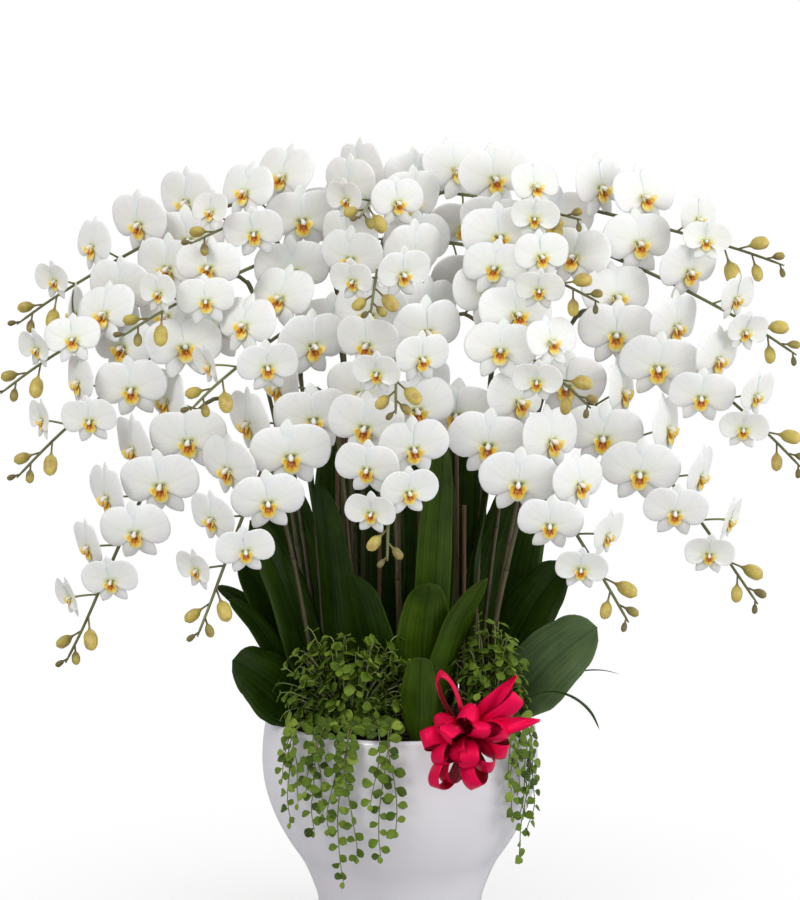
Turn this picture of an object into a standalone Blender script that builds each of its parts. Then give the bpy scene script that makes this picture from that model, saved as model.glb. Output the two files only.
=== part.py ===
"""Potted orchid: a glazed pot of growing mix with twenty arching flower sprays,
strap leaves, support stakes, two small-leaved creepers and a ribbon bow.
Metres, +Z up, the front faces -Y and the pot stands on z = 0."""
import itertools
import math

import bmesh
import bpy
import numpy as np
from mathutils.bvhtree import BVHTree

# Driving dimensions
POT_HEIGHT = 0.306
POT_RADIUS = 0.183
POT_WALL = 0.008
POT_FLOOR = 0.014
POT_SIDES = 32
SOIL_DROP = 0.021          # soil surface below the rim
GAP = 0.0003               # between solids that touch
HEAD_RISE = 0.750          # soil to the highest stem
HEAD_REACH = 0.490         # pot axis to the furthest spray tip
STEM_RADIUS = 0.0032
STEM_END_RADIUS = 0.0016
STEM_POINTS = 16
BLOOM_WIDTH = 0.100        # open flowers near the crown of a spray
LAST_BLOOM_WIDTH = 0.062   # the last flower before the buds
BLOOM_STEP = 0.033         # along the stem, sides alternate
BUD_STEP = 0.019
RANK_OFFSET = 0.022
PEDICEL = 0.020
BUD_LENGTH = 0.030
LEAF_THICKNESS = 0.0030
STAKE_RADIUS = 0.0030
RIBBON_WIDTH = 0.027
RIBBON_THICKNESS = 0.0014

SOIL_TOP = POT_HEIGHT - SOIL_DROP
STAND = SOIL_TOP + GAP     # level where stems, stakes and leaves start

# Pot outside: share of the radius and share of the height
POT_PROFILE = [(0.640, 0.000), (0.640, 0.030), (0.615, 0.060), (0.598, 0.130), (0.600, 0.190),
               (0.640, 0.265), (0.710, 0.360), (0.815, 0.455), (0.915, 0.570), (0.985, 0.705),
               (1.000, 0.800), (0.992, 0.900), (0.976, 0.968)]

# Places in the pot are shares of the soil's radius, so they keep inside any pot.
# Sprays: base x, y in the pot; highest stem point x, y, z and tip x, y, z, with x and y in
# HEAD_REACH and z in HEAD_RISE above the soil; facing and rank spread in degrees; flowers; buds
SPRAYS = {
    "spray_low_far_left": ((-0.61, -0.32), (-0.43, -0.16, 0.600), (-0.84, -0.39, 0.165), -34, 24, 9, 4),
    "spray_low_left": ((-0.32, -0.32), (-0.20, -0.20, 0.610), (-0.49, -0.57, 0.230), -20, 26, 9, 4),
    "spray_low_centre": ((0.00, -0.32), (-0.02, -0.22, 0.620), (-0.03, -0.67, 0.360), 0, 18, 9, 3),
    "spray_low_right": ((0.32, -0.32), (0.12, -0.20, 0.610), (0.55, -0.59, 0.255), 20, 24, 9, 4),
    "spray_low_far_right": ((0.61, -0.32), (0.44, -0.16, 0.590), (0.90, -0.37, 0.260), 30, 34, 9, 4),
    "spray_mid_far_left": ((-0.64, -0.06), (-0.44, -0.08, 0.730), (-0.97, -0.31, 0.465), -34, 24, 8, 4),
    "spray_mid_left": ((-0.35, -0.03), (-0.19, -0.12, 0.740), (-0.51, -0.49, 0.585), -18, 18, 6, 4),
    "spray_mid_centre": ((0.00, 0.00), (-0.01, -0.12, 0.745), (-0.01, -0.61, 0.585), 0, 20, 6, 4),
    "spray_mid_right": ((0.35, -0.03), (0.14, -0.12, 0.735), (0.46, -0.53, 0.590), 14, 18, 6, 4),
    "spray_mid_far_right": ((0.64, -0.06), (0.49, -0.08, 0.740), (1.02, -0.29, 0.480), 22, 26, 8, 4),
    "spray_high_far_left": ((-0.61, 0.20), (-0.45, 0.00, 0.810), (-1.03, -0.20, 0.600), -34, 22, 7, 4),
    "spray_high_left": ((-0.32, 0.23), (-0.22, -0.02, 0.850), (-0.69, -0.37, 0.700), -20, 18, 7, 4),
    "spray_high_centre": ((0.00, 0.26), (-0.04, -0.04, 0.865), (-0.07, -0.53, 0.740), 0, 20, 6, 4),
    "spray_high_right": ((0.32, 0.23), (0.10, -0.02, 0.860), (0.49, -0.41, 0.755), 14, 18, 7, 4),
    "spray_high_far_right": ((0.61, 0.20), (0.45, 0.00, 0.850), (1.02, -0.20, 0.665), 24, 22, 8, 4),
    "spray_top_far_left": ((-0.58, 0.47), (-0.40, 0.08, 0.925), (-1.00, -0.12, 0.715), -32, 20, 7, 4),
    "spray_top_left": ((-0.29, 0.50), (-0.17, 0.10, 0.945), (-0.53, -0.27, 0.850), -22, 18, 6, 3),
    "spray_top_centre": ((0.00, 0.52), (-0.03, 0.10, 0.960), (-0.10, -0.39, 0.890), 0, 20, 6, 4),
    "spray_top_right": ((0.29, 0.50), (0.11, 0.10, 0.945), (0.46, -0.24, 0.890), 16, 18, 6, 3),
    "spray_top_far_right": ((0.58, 0.47), (0.36, 0.06, 0.930), (1.00, -0.12, 0.815), 24, 20, 7, 5),
}

# Stakes: x, y in the pot; length
STAKES = {
    "stake_back_left": (-0.45, 0.35, 0.400), "stake_back_right": (0.45, 0.35, 0.410),
    "stake_mid_left": (-0.48, -0.17, 0.370), "stake_mid_right": (0.49, -0.19, 0.300),
    "stake_centre_back": (0.15, 0.13, 0.440), "stake_centre_front": (-0.16, -0.17, 0.390),
}

# Leaves: base x, y in the pot; heading (0 front, 90 right); length; width; climb at base and
# at tip; fold; roll of the face towards the front
LEAVES = {
    "leaf_left_low": (-0.69, -0.29, -70, 0.150, 0.092, 58, 30, 8, 62),
    "leaf_left_high": (-0.79, 0.07, -74, 0.245, 0.080, 86, 50, 12, 56),
    "leaf_left_tall": (-0.66, -0.27, -76, 0.300, 0.076, 86, 58, 14, 56),
    "leaf_left_small": (-0.83, -0.17, -78, 0.205, 0.036, 88, 36, 12, 60),
    "leaf_left_upper": (-0.83, 0.17, -86, 0.225, 0.036, 88, 26, 12, 50),
    "leaf_right_broad": (0.79, -0.21, 76, 0.194, 0.100, 64, 31, 10, 64),
    "leaf_right_high": (0.79, 0.15, 78, 0.240, 0.094, 86, 44, 12, 60),
    "leaf_right_front": (0.27, -0.47, 48, 0.240, 0.066, 84, 50, 18, 0),
    "leaf_front_broad": (0.15, -0.50, 8, 0.235, 0.072, 88, 50, 14, 0),
    "leaf_front_folded": (0.14, -0.82, 4, 0.130, 0.056, 88, 62, 36, 0),
    "leaf_front_left": (-0.14, -0.47, -30, 0.245, 0.066, 87, 52, 16, 0),
    "leaf_centre_tall": (0.24, -0.43, 26, 0.390, 0.056, 89, 80, 20, 0),
    "leaf_centre_left": (-0.44, -0.32, -34, 0.340, 0.060, 89, 72, 18, 0),
    "leaf_rear_far_left": (-0.72, 0.56, -116, 0.340, 0.104, 88, 66, 12, 50),
    "leaf_rear_left": (-0.36, 0.76, -165, 0.430, 0.120, 88, 74, 12, 0),
    "leaf_rear_centre": (0.00, 0.84, 172, 0.440, 0.120, 88, 76, 12, 0),
    "leaf_rear_right": (0.36, 0.82, 157, 0.430, 0.120, 88, 74, 12, 0),
    "leaf_rear_far_right": (0.72, 0.56, 118, 0.345, 0.104, 88, 64, 12, 50),
    "leaf_mid_left": (-0.56, 0.12, -50, 0.380, 0.094, 89, 76, 12, 40),
    "leaf_mid_right": (0.54, 0.12, 50, 0.360, 0.094, 89, 76, 12, 40),
    "leaf_inner_left": (-0.20, 0.56, -170, 0.420, 0.090, 89, 80, 12, 0),
    "leaf_inner_right": (0.20, 0.58, 170, 0.420, 0.090, 89, 80, 12, 0),
    "leaf_back_left": (-0.56, 0.72, -142, 0.225, 0.070, 74, -10, 16, 0),
    "leaf_back_centre": (0.19, 0.87, 172, 0.235, 0.070, 74, -8, 16, 0),
    "leaf_back_right": (0.56, 0.72, 138, 0.225, 0.070, 74, -10, 16, 0),
    "blade_right_upper": (0.83, -0.22, 84, 0.185, 0.010, 66, -18, 8, 0),
    "blade_right_lower": (0.79, -0.37, 58, 0.190, 0.010, 74, -70, 8, 0),
}

# Creepers: mound centre x, y and half width and depth in the pot; height; strands as heading
# round the pot, drop below the rim and width
CREEPERS = {
    "creeper_left": ((-0.38, -0.69), (0.52, 0.14), 0.136,
                     [(-45, 0.112, 0.034), (-33, 0.116, 0.030), (-22, 0.178, 0.044), (-6, 0.140, 0.040)]),
    "creeper_right": ((0.68, -0.49), (0.28, 0.12), 0.145,
                      [(47, 0.104, 0.026), (57, 0.166, 0.042)]),
}
MOUND_RINGS = [(0.00, 0.40), (0.10, 0.42), (0.26, 0.78), (0.50, 1.00), (0.75, 0.86), (0.93, 0.48)]

# Bow: knot as heading round the pot, out from the rim, up from the rim; wire foot x, y in the
# pot; loops as turn in the front plane, lean to the front, length, half height
BOW_HEADING = 20.5
BOW_OUT = 0.050
BOW_UP = 0.020
BOW_WIRE_FOOT = (0.45, -0.69)
BOW_LOOPS = [(248, 20, 0.064, 0.016), (283, 26, 0.068, 0.016), (218, 40, 0.056, 0.015),
             (186, 16, 0.056, 0.014), (150, 30, 0.046, 0.014), (112, 12, 0.086, 0.012),
             (84, 44, 0.050, 0.014), (38, 12, 0.082, 0.014), (12, 30, 0.058, 0.014),
             (-20, 14, 0.056, 0.014), (-48, 34, 0.056, 0.015), (-84, 52, 0.050, 0.014),
             (250, 58, 0.044, 0.014)]
BOW_TAILS = [(56, 10, 0.110), (22, 16, 0.100)]

# Flower outline, clockwise from the top, in flower widths: right, up, front
PETALS = [(0.00, 0.47, -0.02), (0.14, 0.35, 0.00), (0.32, 0.39, 0.00), (0.49, 0.20, 0.01),
          (0.46, -0.04, 0.01), (0.27, -0.13, 0.00), (0.23, -0.33, -0.05), (0.00, -0.22, -0.02)]
PETALS = PETALS + [(-x, y, n) for x, y, n in PETALS[6:0:-1]]
LIP = (0.0, -0.10, 0.14)
CALYX = (0.0, 0.0, -0.09)
# Ways to turn a flower that has no room: tilt, turn, distance out
TRIES = sorted(itertools.product((0, -12, 12, -24, 24, -36), (0, 12, -12, 24, -24, 36), (0, 1, 2, -0.6, 3)),
               key=lambda way: (abs(way[0]) / 12 + abs(way[1]) / 12 + abs(way[2]) * 1.1, way))
# Ways to move a leaf that has no room: turn, shift right, shift back, share of its width
LEAF_TRIES = sorted(itertools.product((0, -8, 8, -16, 16, -26, 26), (0, -0.06, 0.06, -0.12, 0.12),
                                      (0, -0.06, 0.06, -0.12, 0.12), (1.0, 0.86, 0.72)),
                    key=lambda way: (abs(way[0]) / 10 + abs(way[1]) * 15 + abs(way[2]) * 15
                                     + (1 - way[3]) * 9, way))
STAKE_TRIES = sorted(itertools.product((0, -0.05, 0.05, -0.1, 0.1), (0, -0.05, 0.05, -0.1, 0.1)),
                     key=lambda way: (abs(way[0]) + abs(way[1]), way))
UP = np.array([0.0, 0.0, 1.0])


def clear_scene():
    for item in list(bpy.data.objects):
        bpy.data.objects.remove(item, do_unlink=True)


def unit(vector):
    vector = np.asarray(vector, float)
    return vector / np.linalg.norm(vector)


def heading(degrees, climb=0.0):
    """Unit vector: 0 to the front, 90 to the right, climb upwards."""
    a = math.radians(degrees)
    c = math.radians(climb)
    return np.array([math.sin(a) * math.cos(c), -math.cos(a) * math.cos(c), math.sin(c)])


def hermite(start, start_pull, end, end_pull, count):
    t = np.linspace(0, 1, count)[:, None]
    return ((2 * t**3 - 3 * t**2 + 1) * start + (t**3 - 2 * t**2 + t) * start_pull
            + (-2 * t**3 + 3 * t**2) * end + (t**3 - t**2) * end_pull)


def spray_line(spray):
    """Stem centre line, rising to its highest point and arching down to its tip."""
    base, crown, tip = spray[0], spray[1], spray[2]
    size = np.array([HEAD_REACH, HEAD_REACH, HEAD_RISE])
    start = in_pot(*base)
    top = np.array(crown) * size + UP * SOIL_TOP
    end = np.array(tip) * size + UP * SOIL_TOP
    run = end - top
    level = unit([run[0], run[1], 0])
    rise = np.linalg.norm(top - start)
    fall = np.linalg.norm(run)
    drop = unit([level[0], level[1], run[2] / fall * 1.9])
    lean = unit([(top - start)[0] * 0.3, (top - start)[1] * 0.3, rise])
    climb = hermite(start, lean * rise, top, level * rise * 0.25, 30)
    pull = fall * (0.25 + 0.55 * abs(run[2]) / fall)
    arch = hermite(top, level * pull, end, drop * pull, 50)
    return resample(np.vstack([climb, arch[1:]]), STEM_POINTS, 0.75)


def lengths(line):
    return np.concatenate([[0], np.cumsum(np.linalg.norm(np.diff(line, axis=0), axis=1))])


def point_at(line, distance):
    run = lengths(line)
    return np.array([np.interp(distance, run, line[:, k]) for k in range(3)])


def direction_at(line, distance):
    end = lengths(line)[-1]
    a = min(max(distance - 0.004, 0), end - 0.008)
    return unit(point_at(line, a + 0.008) - point_at(line, a))


def resample(line, count, power=1.0):
    end = lengths(line)[-1]
    return np.array([point_at(line, end * (k / (count - 1)) ** power) for k in range(count)])


def add_mesh(name, points, faces, helper=False):
    mesh = bpy.data.meshes.new(name)
    mesh.from_pydata([tuple(float(v) for v in p) for p in points], [], faces)
    work = bmesh.new()
    work.from_mesh(mesh)
    bmesh.ops.recalc_face_normals(work, faces=work.faces)
    work.to_mesh(mesh)
    work.free()
    item = bpy.data.objects.new(name, mesh)
    if helper:
        item.hide_render = True
        item.display_type = "WIRE"
    else:
        bpy.context.scene.collection.objects.link(item)
    return item


def rings_to_solid(rings, close_ends=True):
    """Points and faces of a tube through equal rings, closed by a face at each end."""
    count = len(rings[0])
    points = [p for ring in rings for p in ring]
    faces = []
    for k in range(len(rings) - 1):
        for j in range(count):
            a = k * count + j
            b = k * count + (j + 1) % count
            faces.append((a, b, b + count, a + count))
    if close_ends:
        faces.append(tuple(range(count)))
        faces.append(tuple(range(len(points) - count, len(points))))
    return points, faces


def tube(line, radii, sides, flat=1.0, across=None):
    """Rings round a line: radii per point; flat narrows the section square to 'across'."""
    rings = []
    side = None
    for k, centre in enumerate(line):
        ahead = unit(line[min(k + 1, len(line) - 1)] - line[max(k - 1, 0)])
        if across is not None:
            side = unit(across[k] - ahead * np.dot(across[k], ahead))
        elif side is None:
            side = unit(np.cross(ahead, [0.31, 0.95, 0.05]))
        else:
            side = unit(side - ahead * np.dot(side, ahead))
        other = np.cross(ahead, side)
        ring = []
        for j in range(sides):
            a = 2 * math.pi * j / sides
            ring.append(centre + radii[k] * (math.cos(a) * side + math.sin(a) * flat * other))
        rings.append(ring)
    return rings_to_solid(rings)


def lathe(profile, segments):
    """Closed solid turned about Z; the profile starts and ends on the axis."""
    points = [(0.0, 0.0, profile[0][1])]
    faces = []
    for radius, level in profile[1:-1]:
        for j in range(segments):
            a = 2 * math.pi * j / segments
            points.append((radius * math.cos(a), radius * math.sin(a), level))
    points.append((0.0, 0.0, profile[-1][1]))
    rings = len(profile) - 2
    for j in range(segments):
        faces.append((0, 1 + j, 1 + (j + 1) % segments))
        last = 1 + (rings - 1) * segments
        faces.append((len(points) - 1, last + (j + 1) % segments, last + j))
    for k in range(rings - 1):
        for j in range(segments):
            a = 1 + k * segments + j
            b = 1 + k * segments + (j + 1) % segments
            faces.append((a, b, b + segments, a + segments))
    return points, faces


def tree_of(solid):
    points, faces = solid
    return BVHTree.FromPolygons([tuple(float(v) for v in p) for p in points], faces)


def middle_and_reach(solid):
    points = np.array(solid[0], float)
    centre = (points.min(axis=0) + points.max(axis=0)) / 2
    return centre, float(np.linalg.norm(points - centre, axis=1).max())


class Room:
    """Solids already placed, so that the next one is only put where it is clear of them."""

    def __init__(self):
        self.placed = []

    def add(self, solid, owner):
        self.placed.append((tree_of(solid), *middle_and_reach(solid), owner))

    def is_clear(self, solid, owner=None):
        centre, reach = middle_and_reach(solid)
        tree = None
        for other, middle, size, whose in self.placed:
            if owner is not None and whose == owner:
                continue
            if np.linalg.norm(middle - centre) > reach + size:
                continue
            if tree is None:
                tree = tree_of(solid)
            if tree.overlap(other):
                return False
        return True


def pot_radius_at(level):
    share = level / POT_HEIGHT
    return POT_RADIUS * float(np.interp(share, [z for _, z in POT_PROFILE], [r for r, _ in POT_PROFILE]))


def pot_inside():
    """Inside of the pot from its floor up to the lip, as radii and levels."""
    outside = [(r * POT_RADIUS, z * POT_HEIGHT) for r, z in POT_PROFILE]
    inside = [(outside[2][0] - POT_WALL * 1.3, POT_FLOOR)]
    inside += [(r - POT_WALL, z) for r, z in outside[2:-1] if z > POT_FLOOR + 0.004]
    return inside + [(rim_radius() - POT_WALL * 1.6, POT_HEIGHT * 0.975)]


def inside_radius_at(level):
    inside = pot_inside()
    return float(np.interp(level, [z for _, z in inside], [r for r, _ in inside]))


def soil_radius():
    return inside_radius_at(SOIL_TOP) - GAP * 2


def in_pot(right, back):
    """Point where something stands on the soil."""
    return np.array([right * soil_radius(), back * soil_radius(), STAND])


def rim_radius():
    return POT_PROFILE[-1][0] * POT_RADIUS


def bow_knot():
    return heading(BOW_HEADING) * (rim_radius() + BOW_OUT) + UP * (POT_HEIGHT + BOW_UP)


def pot_solid():
    outside = [(r * POT_RADIUS, z * POT_HEIGHT) for r, z in POT_PROFILE]
    rim = rim_radius()
    lip = [(rim - POT_WALL * 0.22, POT_HEIGHT * 0.992), (rim - POT_WALL * 0.75, POT_HEIGHT),
           (rim - POT_WALL * 1.35, POT_HEIGHT * 0.994)]
    profile = [(0.0, 0.0)] + outside + lip + pot_inside()[::-1] + [(0.0, POT_FLOOR)]
    return lathe(profile, POT_SIDES)


def soil_solid():
    """Growing mix filling the pot to a nearly level top, clear of the wall by the gap."""
    shoulder = SOIL_TOP - 0.004
    inside = [(r, z) for r, z in pot_inside()[1:] if z < shoulder - 0.001]
    profile = [(0.0, POT_FLOOR + GAP), (inside_radius_at(POT_FLOOR) - GAP * 3, POT_FLOOR + GAP)]
    profile += [(r - GAP * 2, z) for r, z in inside]
    profile += [(min(inside_radius_at(shoulder), soil_radius() + 0.004) - GAP * 2, shoulder)]
    profile += [(soil_radius() - 0.003, SOIL_TOP), (0.0, SOIL_TOP)]
    return lathe(profile, POT_SIDES)


def bloom_points(centre, facing, width, roll=0.0, grow=0.0):
    right = unit(np.cross(UP, facing))
    up = np.cross(facing, right)
    c = math.cos(roll)
    s = math.sin(roll)
    right, up = right * c + up * s, up * c - right * s
    scale = width * (1 + grow)
    return [centre + scale * (x * right + y * up + n * facing) for x, y, n in PETALS + [LIP, CALYX]]


def bloom_solid(centre, facing, width, roll=0.0):
    """Closed body: the petal outline drawn out to the lip in front and the calyx behind."""
    count = len(PETALS)
    faces = [(j, (j + 1) % count, count) for j in range(count)]
    faces += [((j + 1) % count, j, count + 1) for j in range(count)]
    return bloom_points(centre, facing, width, roll), faces


def bloom_room(centre, facing, width, roll=0.0):
    """A thicker and wider flower, used only to see that the flower has room."""
    count = len(PETALS)
    thick = facing * 0.0022
    points = bloom_points(centre, facing, width, roll, 0.03)
    front = [p + thick for p in points[:count]]
    back = [p - thick for p in points[:count]]
    tips = [points[count] + thick, points[count + 1] - thick]
    faces = [(j, (j + 1) % count, 2 * count) for j in range(count)]
    faces += [(count + (j + 1) % count, count + j, 2 * count + 1) for j in range(count)]
    faces += [(j, count + j, count + (j + 1) % count, (j + 1) % count) for j in range(count)]
    return front + back + tips, faces


def spindle(line, radii, sides):
    """Thin stalk that swells to a bud and closes at a point."""
    solid_points, faces = tube(line[:-1], radii[:-1], sides)
    tip = len(solid_points)
    solid_points.append(line[-1])
    last = faces.pop()
    for j in range(sides):
        faces.append((last[j], last[(j + 1) % sides], tip))
    return solid_points, faces


def sideways(facing_degrees, ahead):
    side = unit(np.cross(heading(facing_degrees), ahead))
    return side if side[0] >= 0 else -side


def buds_of(line, face, buds):
    """Bud centre lines and sizes, smallest at the tip of the stem."""
    end = lengths(line)[-1]
    found = []
    for j in range(buds):
        at = end - 0.006 - j * BUD_STEP
        ahead = direction_at(line, at)
        side = sideways(face, ahead) * (1 if j % 2 else -1)
        size = BUD_LENGTH * (0.42 + 0.20 * j)
        out = unit(side * 0.75 + heading(face) * 0.35 + ahead * 0.45 - UP * 0.25)
        start = point_at(line, at)
        neck = start + out * (0.004 + 0.003 * j)
        belly = neck + out * size * 0.55 - UP * size * 0.10
        found.append((start, belly, neck + out * size - UP * size * 0.22, size))
    return found


def place_blooms(name, spray, line, room):
    """Flowers from the buds back towards the pot, each turned until it has room."""
    face, spread, count, buds = spray[3:]
    end = lengths(line)[-1]
    first = end - 0.016 - buds * BUD_STEP
    kept = []
    for i in range(count):
        share = i / max(count - 1, 1)
        at = first - i * BLOOM_STEP
        side = 1 if i % 2 else -1
        width = LAST_BLOOM_WIDTH + (BLOOM_WIDTH - LAST_BLOOM_WIDTH) * min(1.0, share * 1.9)
        ahead = direction_at(line, at)
        across = sideways(face, ahead)
        for tilt, turn, out in TRIES:
            facing = heading(face + side * (spread + turn), -8 - 6 * (1 - share) + tilt)
            stalk = PEDICEL * (1 + 0.45 * out)
            centre = point_at(line, at) + across * side * RANK_OFFSET * width / BLOOM_WIDTH
            centre = centre + facing * (stalk + 0.09 * width)
            roll = math.radians(side * 5)
            pedicel = pedicel_solid(line, at, centre, facing, width)
            blossom = bloom_room(centre, facing, width, roll)
            if room.is_clear(blossom) and room.is_clear(pedicel, name):
                room.add(bloom_solid(centre, facing, width, roll), name)
                room.add(pedicel, name)
                kept.append((at, centre, facing, width, roll))
                break
    return kept


def pedicel_solid(line, at, centre, facing, width):
    return tube(np.array([point_at(line, at), centre - facing * width * 0.05]), [0.0016, 0.0016], 3)


def leaf_line(entry):
    x, y, turn, length, width, climb, fall, fold, roll = entry
    count = 9
    point = in_pot(x, y)
    line = [point]
    for k in range(count - 1):
        share = (k + 0.5) / (count - 1)
        step = heading(turn, climb + (fall - climb) * share ** 1.25)
        point = point + step * length / (count - 1)
        line.append(point)
    return np.array(line)


def leaf_faces(rings):
    """Triangles of a leaf, cut the same way above and below so that a twist keeps its thickness."""
    faces = []
    for k in range(rings - 1):
        for j in range(6):
            a = k * 6 + j
            b = k * 6 + (j + 1) % 6
            if j in (2, 5):
                faces += [(a, b, a + 6), (b, b + 6, a + 6)]
            else:
                faces += [(a, b, b + 6), (a, b + 6, a + 6)]
    return faces + [tuple(range(6)), tuple(range(rings * 6 - 6, rings * 6))]


def leaf_solid(entry, turn=0.0, right=0.0, back=0.0, slim=1.0, spare=0.0):
    """Strap leaf: a folded blade of even thickness, narrow at the base, round at the tip."""
    entry = list(entry)
    entry[0] = entry[0] + right
    entry[1] = entry[1] + back
    entry[2] = entry[2] + turn
    entry[4] = entry[4] * slim
    length, width, fold, roll = entry[3], entry[4], math.radians(entry[7]), math.radians(entry[8])
    line = leaf_line(entry)
    count = len(line)
    shape = [0.22, 0.50, 0.78, 0.94, 1.00, 0.97, 0.84, 0.58, 0.16]
    level = unit(np.cross(UP, heading(entry[2])))
    front = 1 if level[1] < 0 else -1
    rings = []
    for k in range(count):
        ahead = unit(line[min(k + 1, count - 1)] - line[max(k - 1, 0)])
        lean = roll * min(1.0, k / 3) * front
        over = np.cross(ahead, level)
        across = level * math.cos(lean) - over * math.sin(lean)
        over = unit(over * math.cos(lean) + level * math.sin(lean))
        half = width * 0.5 * shape[k]
        reach = across * half * math.cos(fold)
        lift = over * half * math.sin(fold)
        thick = over * (LEAF_THICKNESS * 0.5 * min(1.0, width / 0.03) + spare)
        middle = line[k]
        right_edge = middle + reach + lift
        left_edge = middle - reach + lift
        rings.append([middle - thick * 1.4, right_edge - thick * 0.5, right_edge + thick * 0.5,
                      middle + thick * 1.0, left_edge + thick * 0.5, left_edge - thick * 0.5])
    return [point for ring in rings for point in ring], leaf_faces(count)


def lowest(solid):
    return min(float(p[2]) for p in solid[0])


def raise_to_stand(solid):
    lift = max(0.0, STAND - lowest(solid))
    return [np.asarray(p) + UP * lift for p in solid[0]], solid[1]


def mound_solid(place, half, height):
    centre = in_pot(*place)
    reach = np.array(half) * soil_radius()
    rings = []
    for share, size in MOUND_RINGS:
        ring = []
        for j in range(12):
            a = 2 * math.pi * j / 12
            lump = size * (1 + 0.09 * math.cos(3 * a + share * 9) + 0.06 * math.cos(5 * a - share * 14))
            ring.append(centre + np.array([reach[0] * lump * math.cos(a), reach[1] * lump * math.sin(a),
                                           height * share]))
        rings.append(ring)
    return rings_to_solid(rings)


def strand_line(place, turn, drop):
    """From inside its mound, over the rim and down the outside of the pot."""
    rim = rim_radius()
    low = POT_HEIGHT - drop
    out = heading(turn)
    path = [(rim - 0.024, POT_HEIGHT + 0.018), (rim + 0.001, POT_HEIGHT + 0.014),
            (rim + 0.014, POT_HEIGHT - 0.008)]
    level = POT_HEIGHT - 0.040
    while level > low + 0.02:
        path.append((max(pot_radius_at(level), pot_radius_at(level + 0.02)) + 0.010, level))
        level -= 0.030
    path.append((path[-1][0] - 0.001, low))
    start = in_pot(*place) + UP * 0.045
    return np.array([start] + [out * radius + UP * level for radius, level in path])


def strand_solid(place, turn, drop, width):
    line = strand_line(place, turn, drop)
    across = [heading(turn + 90)] * len(line)
    radii = []
    for k in range(len(line)):
        share = k / (len(line) - 1)
        bushy = 0.55 + 0.40 * math.sin(2.6 * k) ** 2 + 0.25 * share
        radii.append(width * 0.5 * bushy * (0.45 if share == 1 else 1))
    return tube(line, radii, 6, 0.42, across)


def band_ring(centre, side, thick):
    return [centre - side - thick, centre + side - thick, centre + side + thick, centre - side + thick]


def bow_loop(knot, turn, lean, length, half):
    """One closed band of ribbon that leaves the knot and comes back to it."""
    a = math.radians(turn)
    b = math.radians(lean)
    ahead = np.array([math.cos(a) * math.cos(b), -math.sin(b), math.sin(a) * math.cos(b)])
    open_way = unit(np.cross(ahead, unit(np.cross(ahead, [0.25, -1.0, 0.15]))))
    wide_way = unit(np.cross(ahead, open_way))
    rings = []
    count = 9
    for k in range(count):
        t = 2 * math.pi * (k + 0.5) / count
        reach = length * (1 - math.cos(t)) / 2
        swell = half * math.sin(t) * (0.35 + 0.65 * (1 - math.cos(t)) / 2)
        width = RIBBON_WIDTH * (0.34 + 0.66 * min(1.0, reach / length * 1.6))
        centre = knot + ahead * reach + open_way * swell
        slope = unit(ahead * length * math.sin(t) / 2 + open_way * half * math.cos(t))
        thick = unit(np.cross(slope, wide_way)) * RIBBON_THICKNESS / 2
        side = wide_way * width / 2
        rings.append(band_ring(centre, side, thick))
    points, faces = rings_to_solid(rings, close_ends=False)
    last = (count - 1) * 4
    for j in range(4):
        faces.append((last + j, last + (j + 1) % 4, (j + 1) % 4, j))
    return points, faces


def bow_tail(knot, turn, lean, length):
    a = math.radians(turn)
    b = math.radians(lean)
    ahead = np.array([math.cos(a) * math.cos(b), -math.sin(b), math.sin(a) * math.cos(b)])
    line = np.array([knot + ahead * length * s + np.array([0, -0.010 * math.sin(3 * s), -0.014 * s * s])
                     for s in np.linspace(0, 1, 5)])
    wide = [unit(np.cross(ahead, [0.2, -1, 0.1]))] * 5
    rings = []
    for k, centre in enumerate(line):
        side = wide[k] * RIBBON_WIDTH * (0.30, 0.42, 0.5, 0.46, 0.34)[k]
        thick = unit(np.cross(ahead, wide[k])) * RIBBON_THICKNESS / 2
        rings.append(band_ring(centre, side, thick))
    return rings_to_solid(rings)


def knot_solid(centre):
    profile = [(0.0, -0.016), (0.010, -0.012), (0.016, -0.003), (0.015, 0.007), (0.008, 0.014), (0.0, 0.016)]
    points, faces = lathe(profile, 8)
    return [centre + np.array([p[0] * 1.1, p[1] * 0.85, p[2]]) for p in points], faces


def joined(name, solids, smooth=False):
    """One body made of overlapping solids."""
    points, faces = solids[0]
    item = add_mesh(name, points, faces)
    if len(solids) > 1:
        group = bpy.data.collections.new(name + "_pieces")
        for k, (points, faces) in enumerate(solids[1:]):
            group.objects.link(add_mesh(f"{name}_piece_{k:02d}", points, faces, helper=True))
        fuse = item.modifiers.new("fuse", "BOOLEAN")
        fuse.operation = "UNION"
        fuse.operand_type = "COLLECTION"
        fuse.collection = group
        fuse.solver = "EXACT"
    if smooth:
        item.data.shade_smooth()
        item.data.set_sharp_from_angle(angle=math.radians(40))
    return item


def material(name, colour, rough):
    made = bpy.data.materials.new(name)
    made.use_nodes = True
    shader = made.node_tree.nodes["Principled BSDF"]
    shader.inputs["Base Color"].default_value = (*colour, 1.0)
    shader.inputs["Roughness"].default_value = rough
    made.diffuse_color = (*colour, 1.0)
    return made


def finish(item, colour, rough):
    item.data.materials.clear()
    item.data.materials.append(material(item.name, colour, rough))


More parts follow.
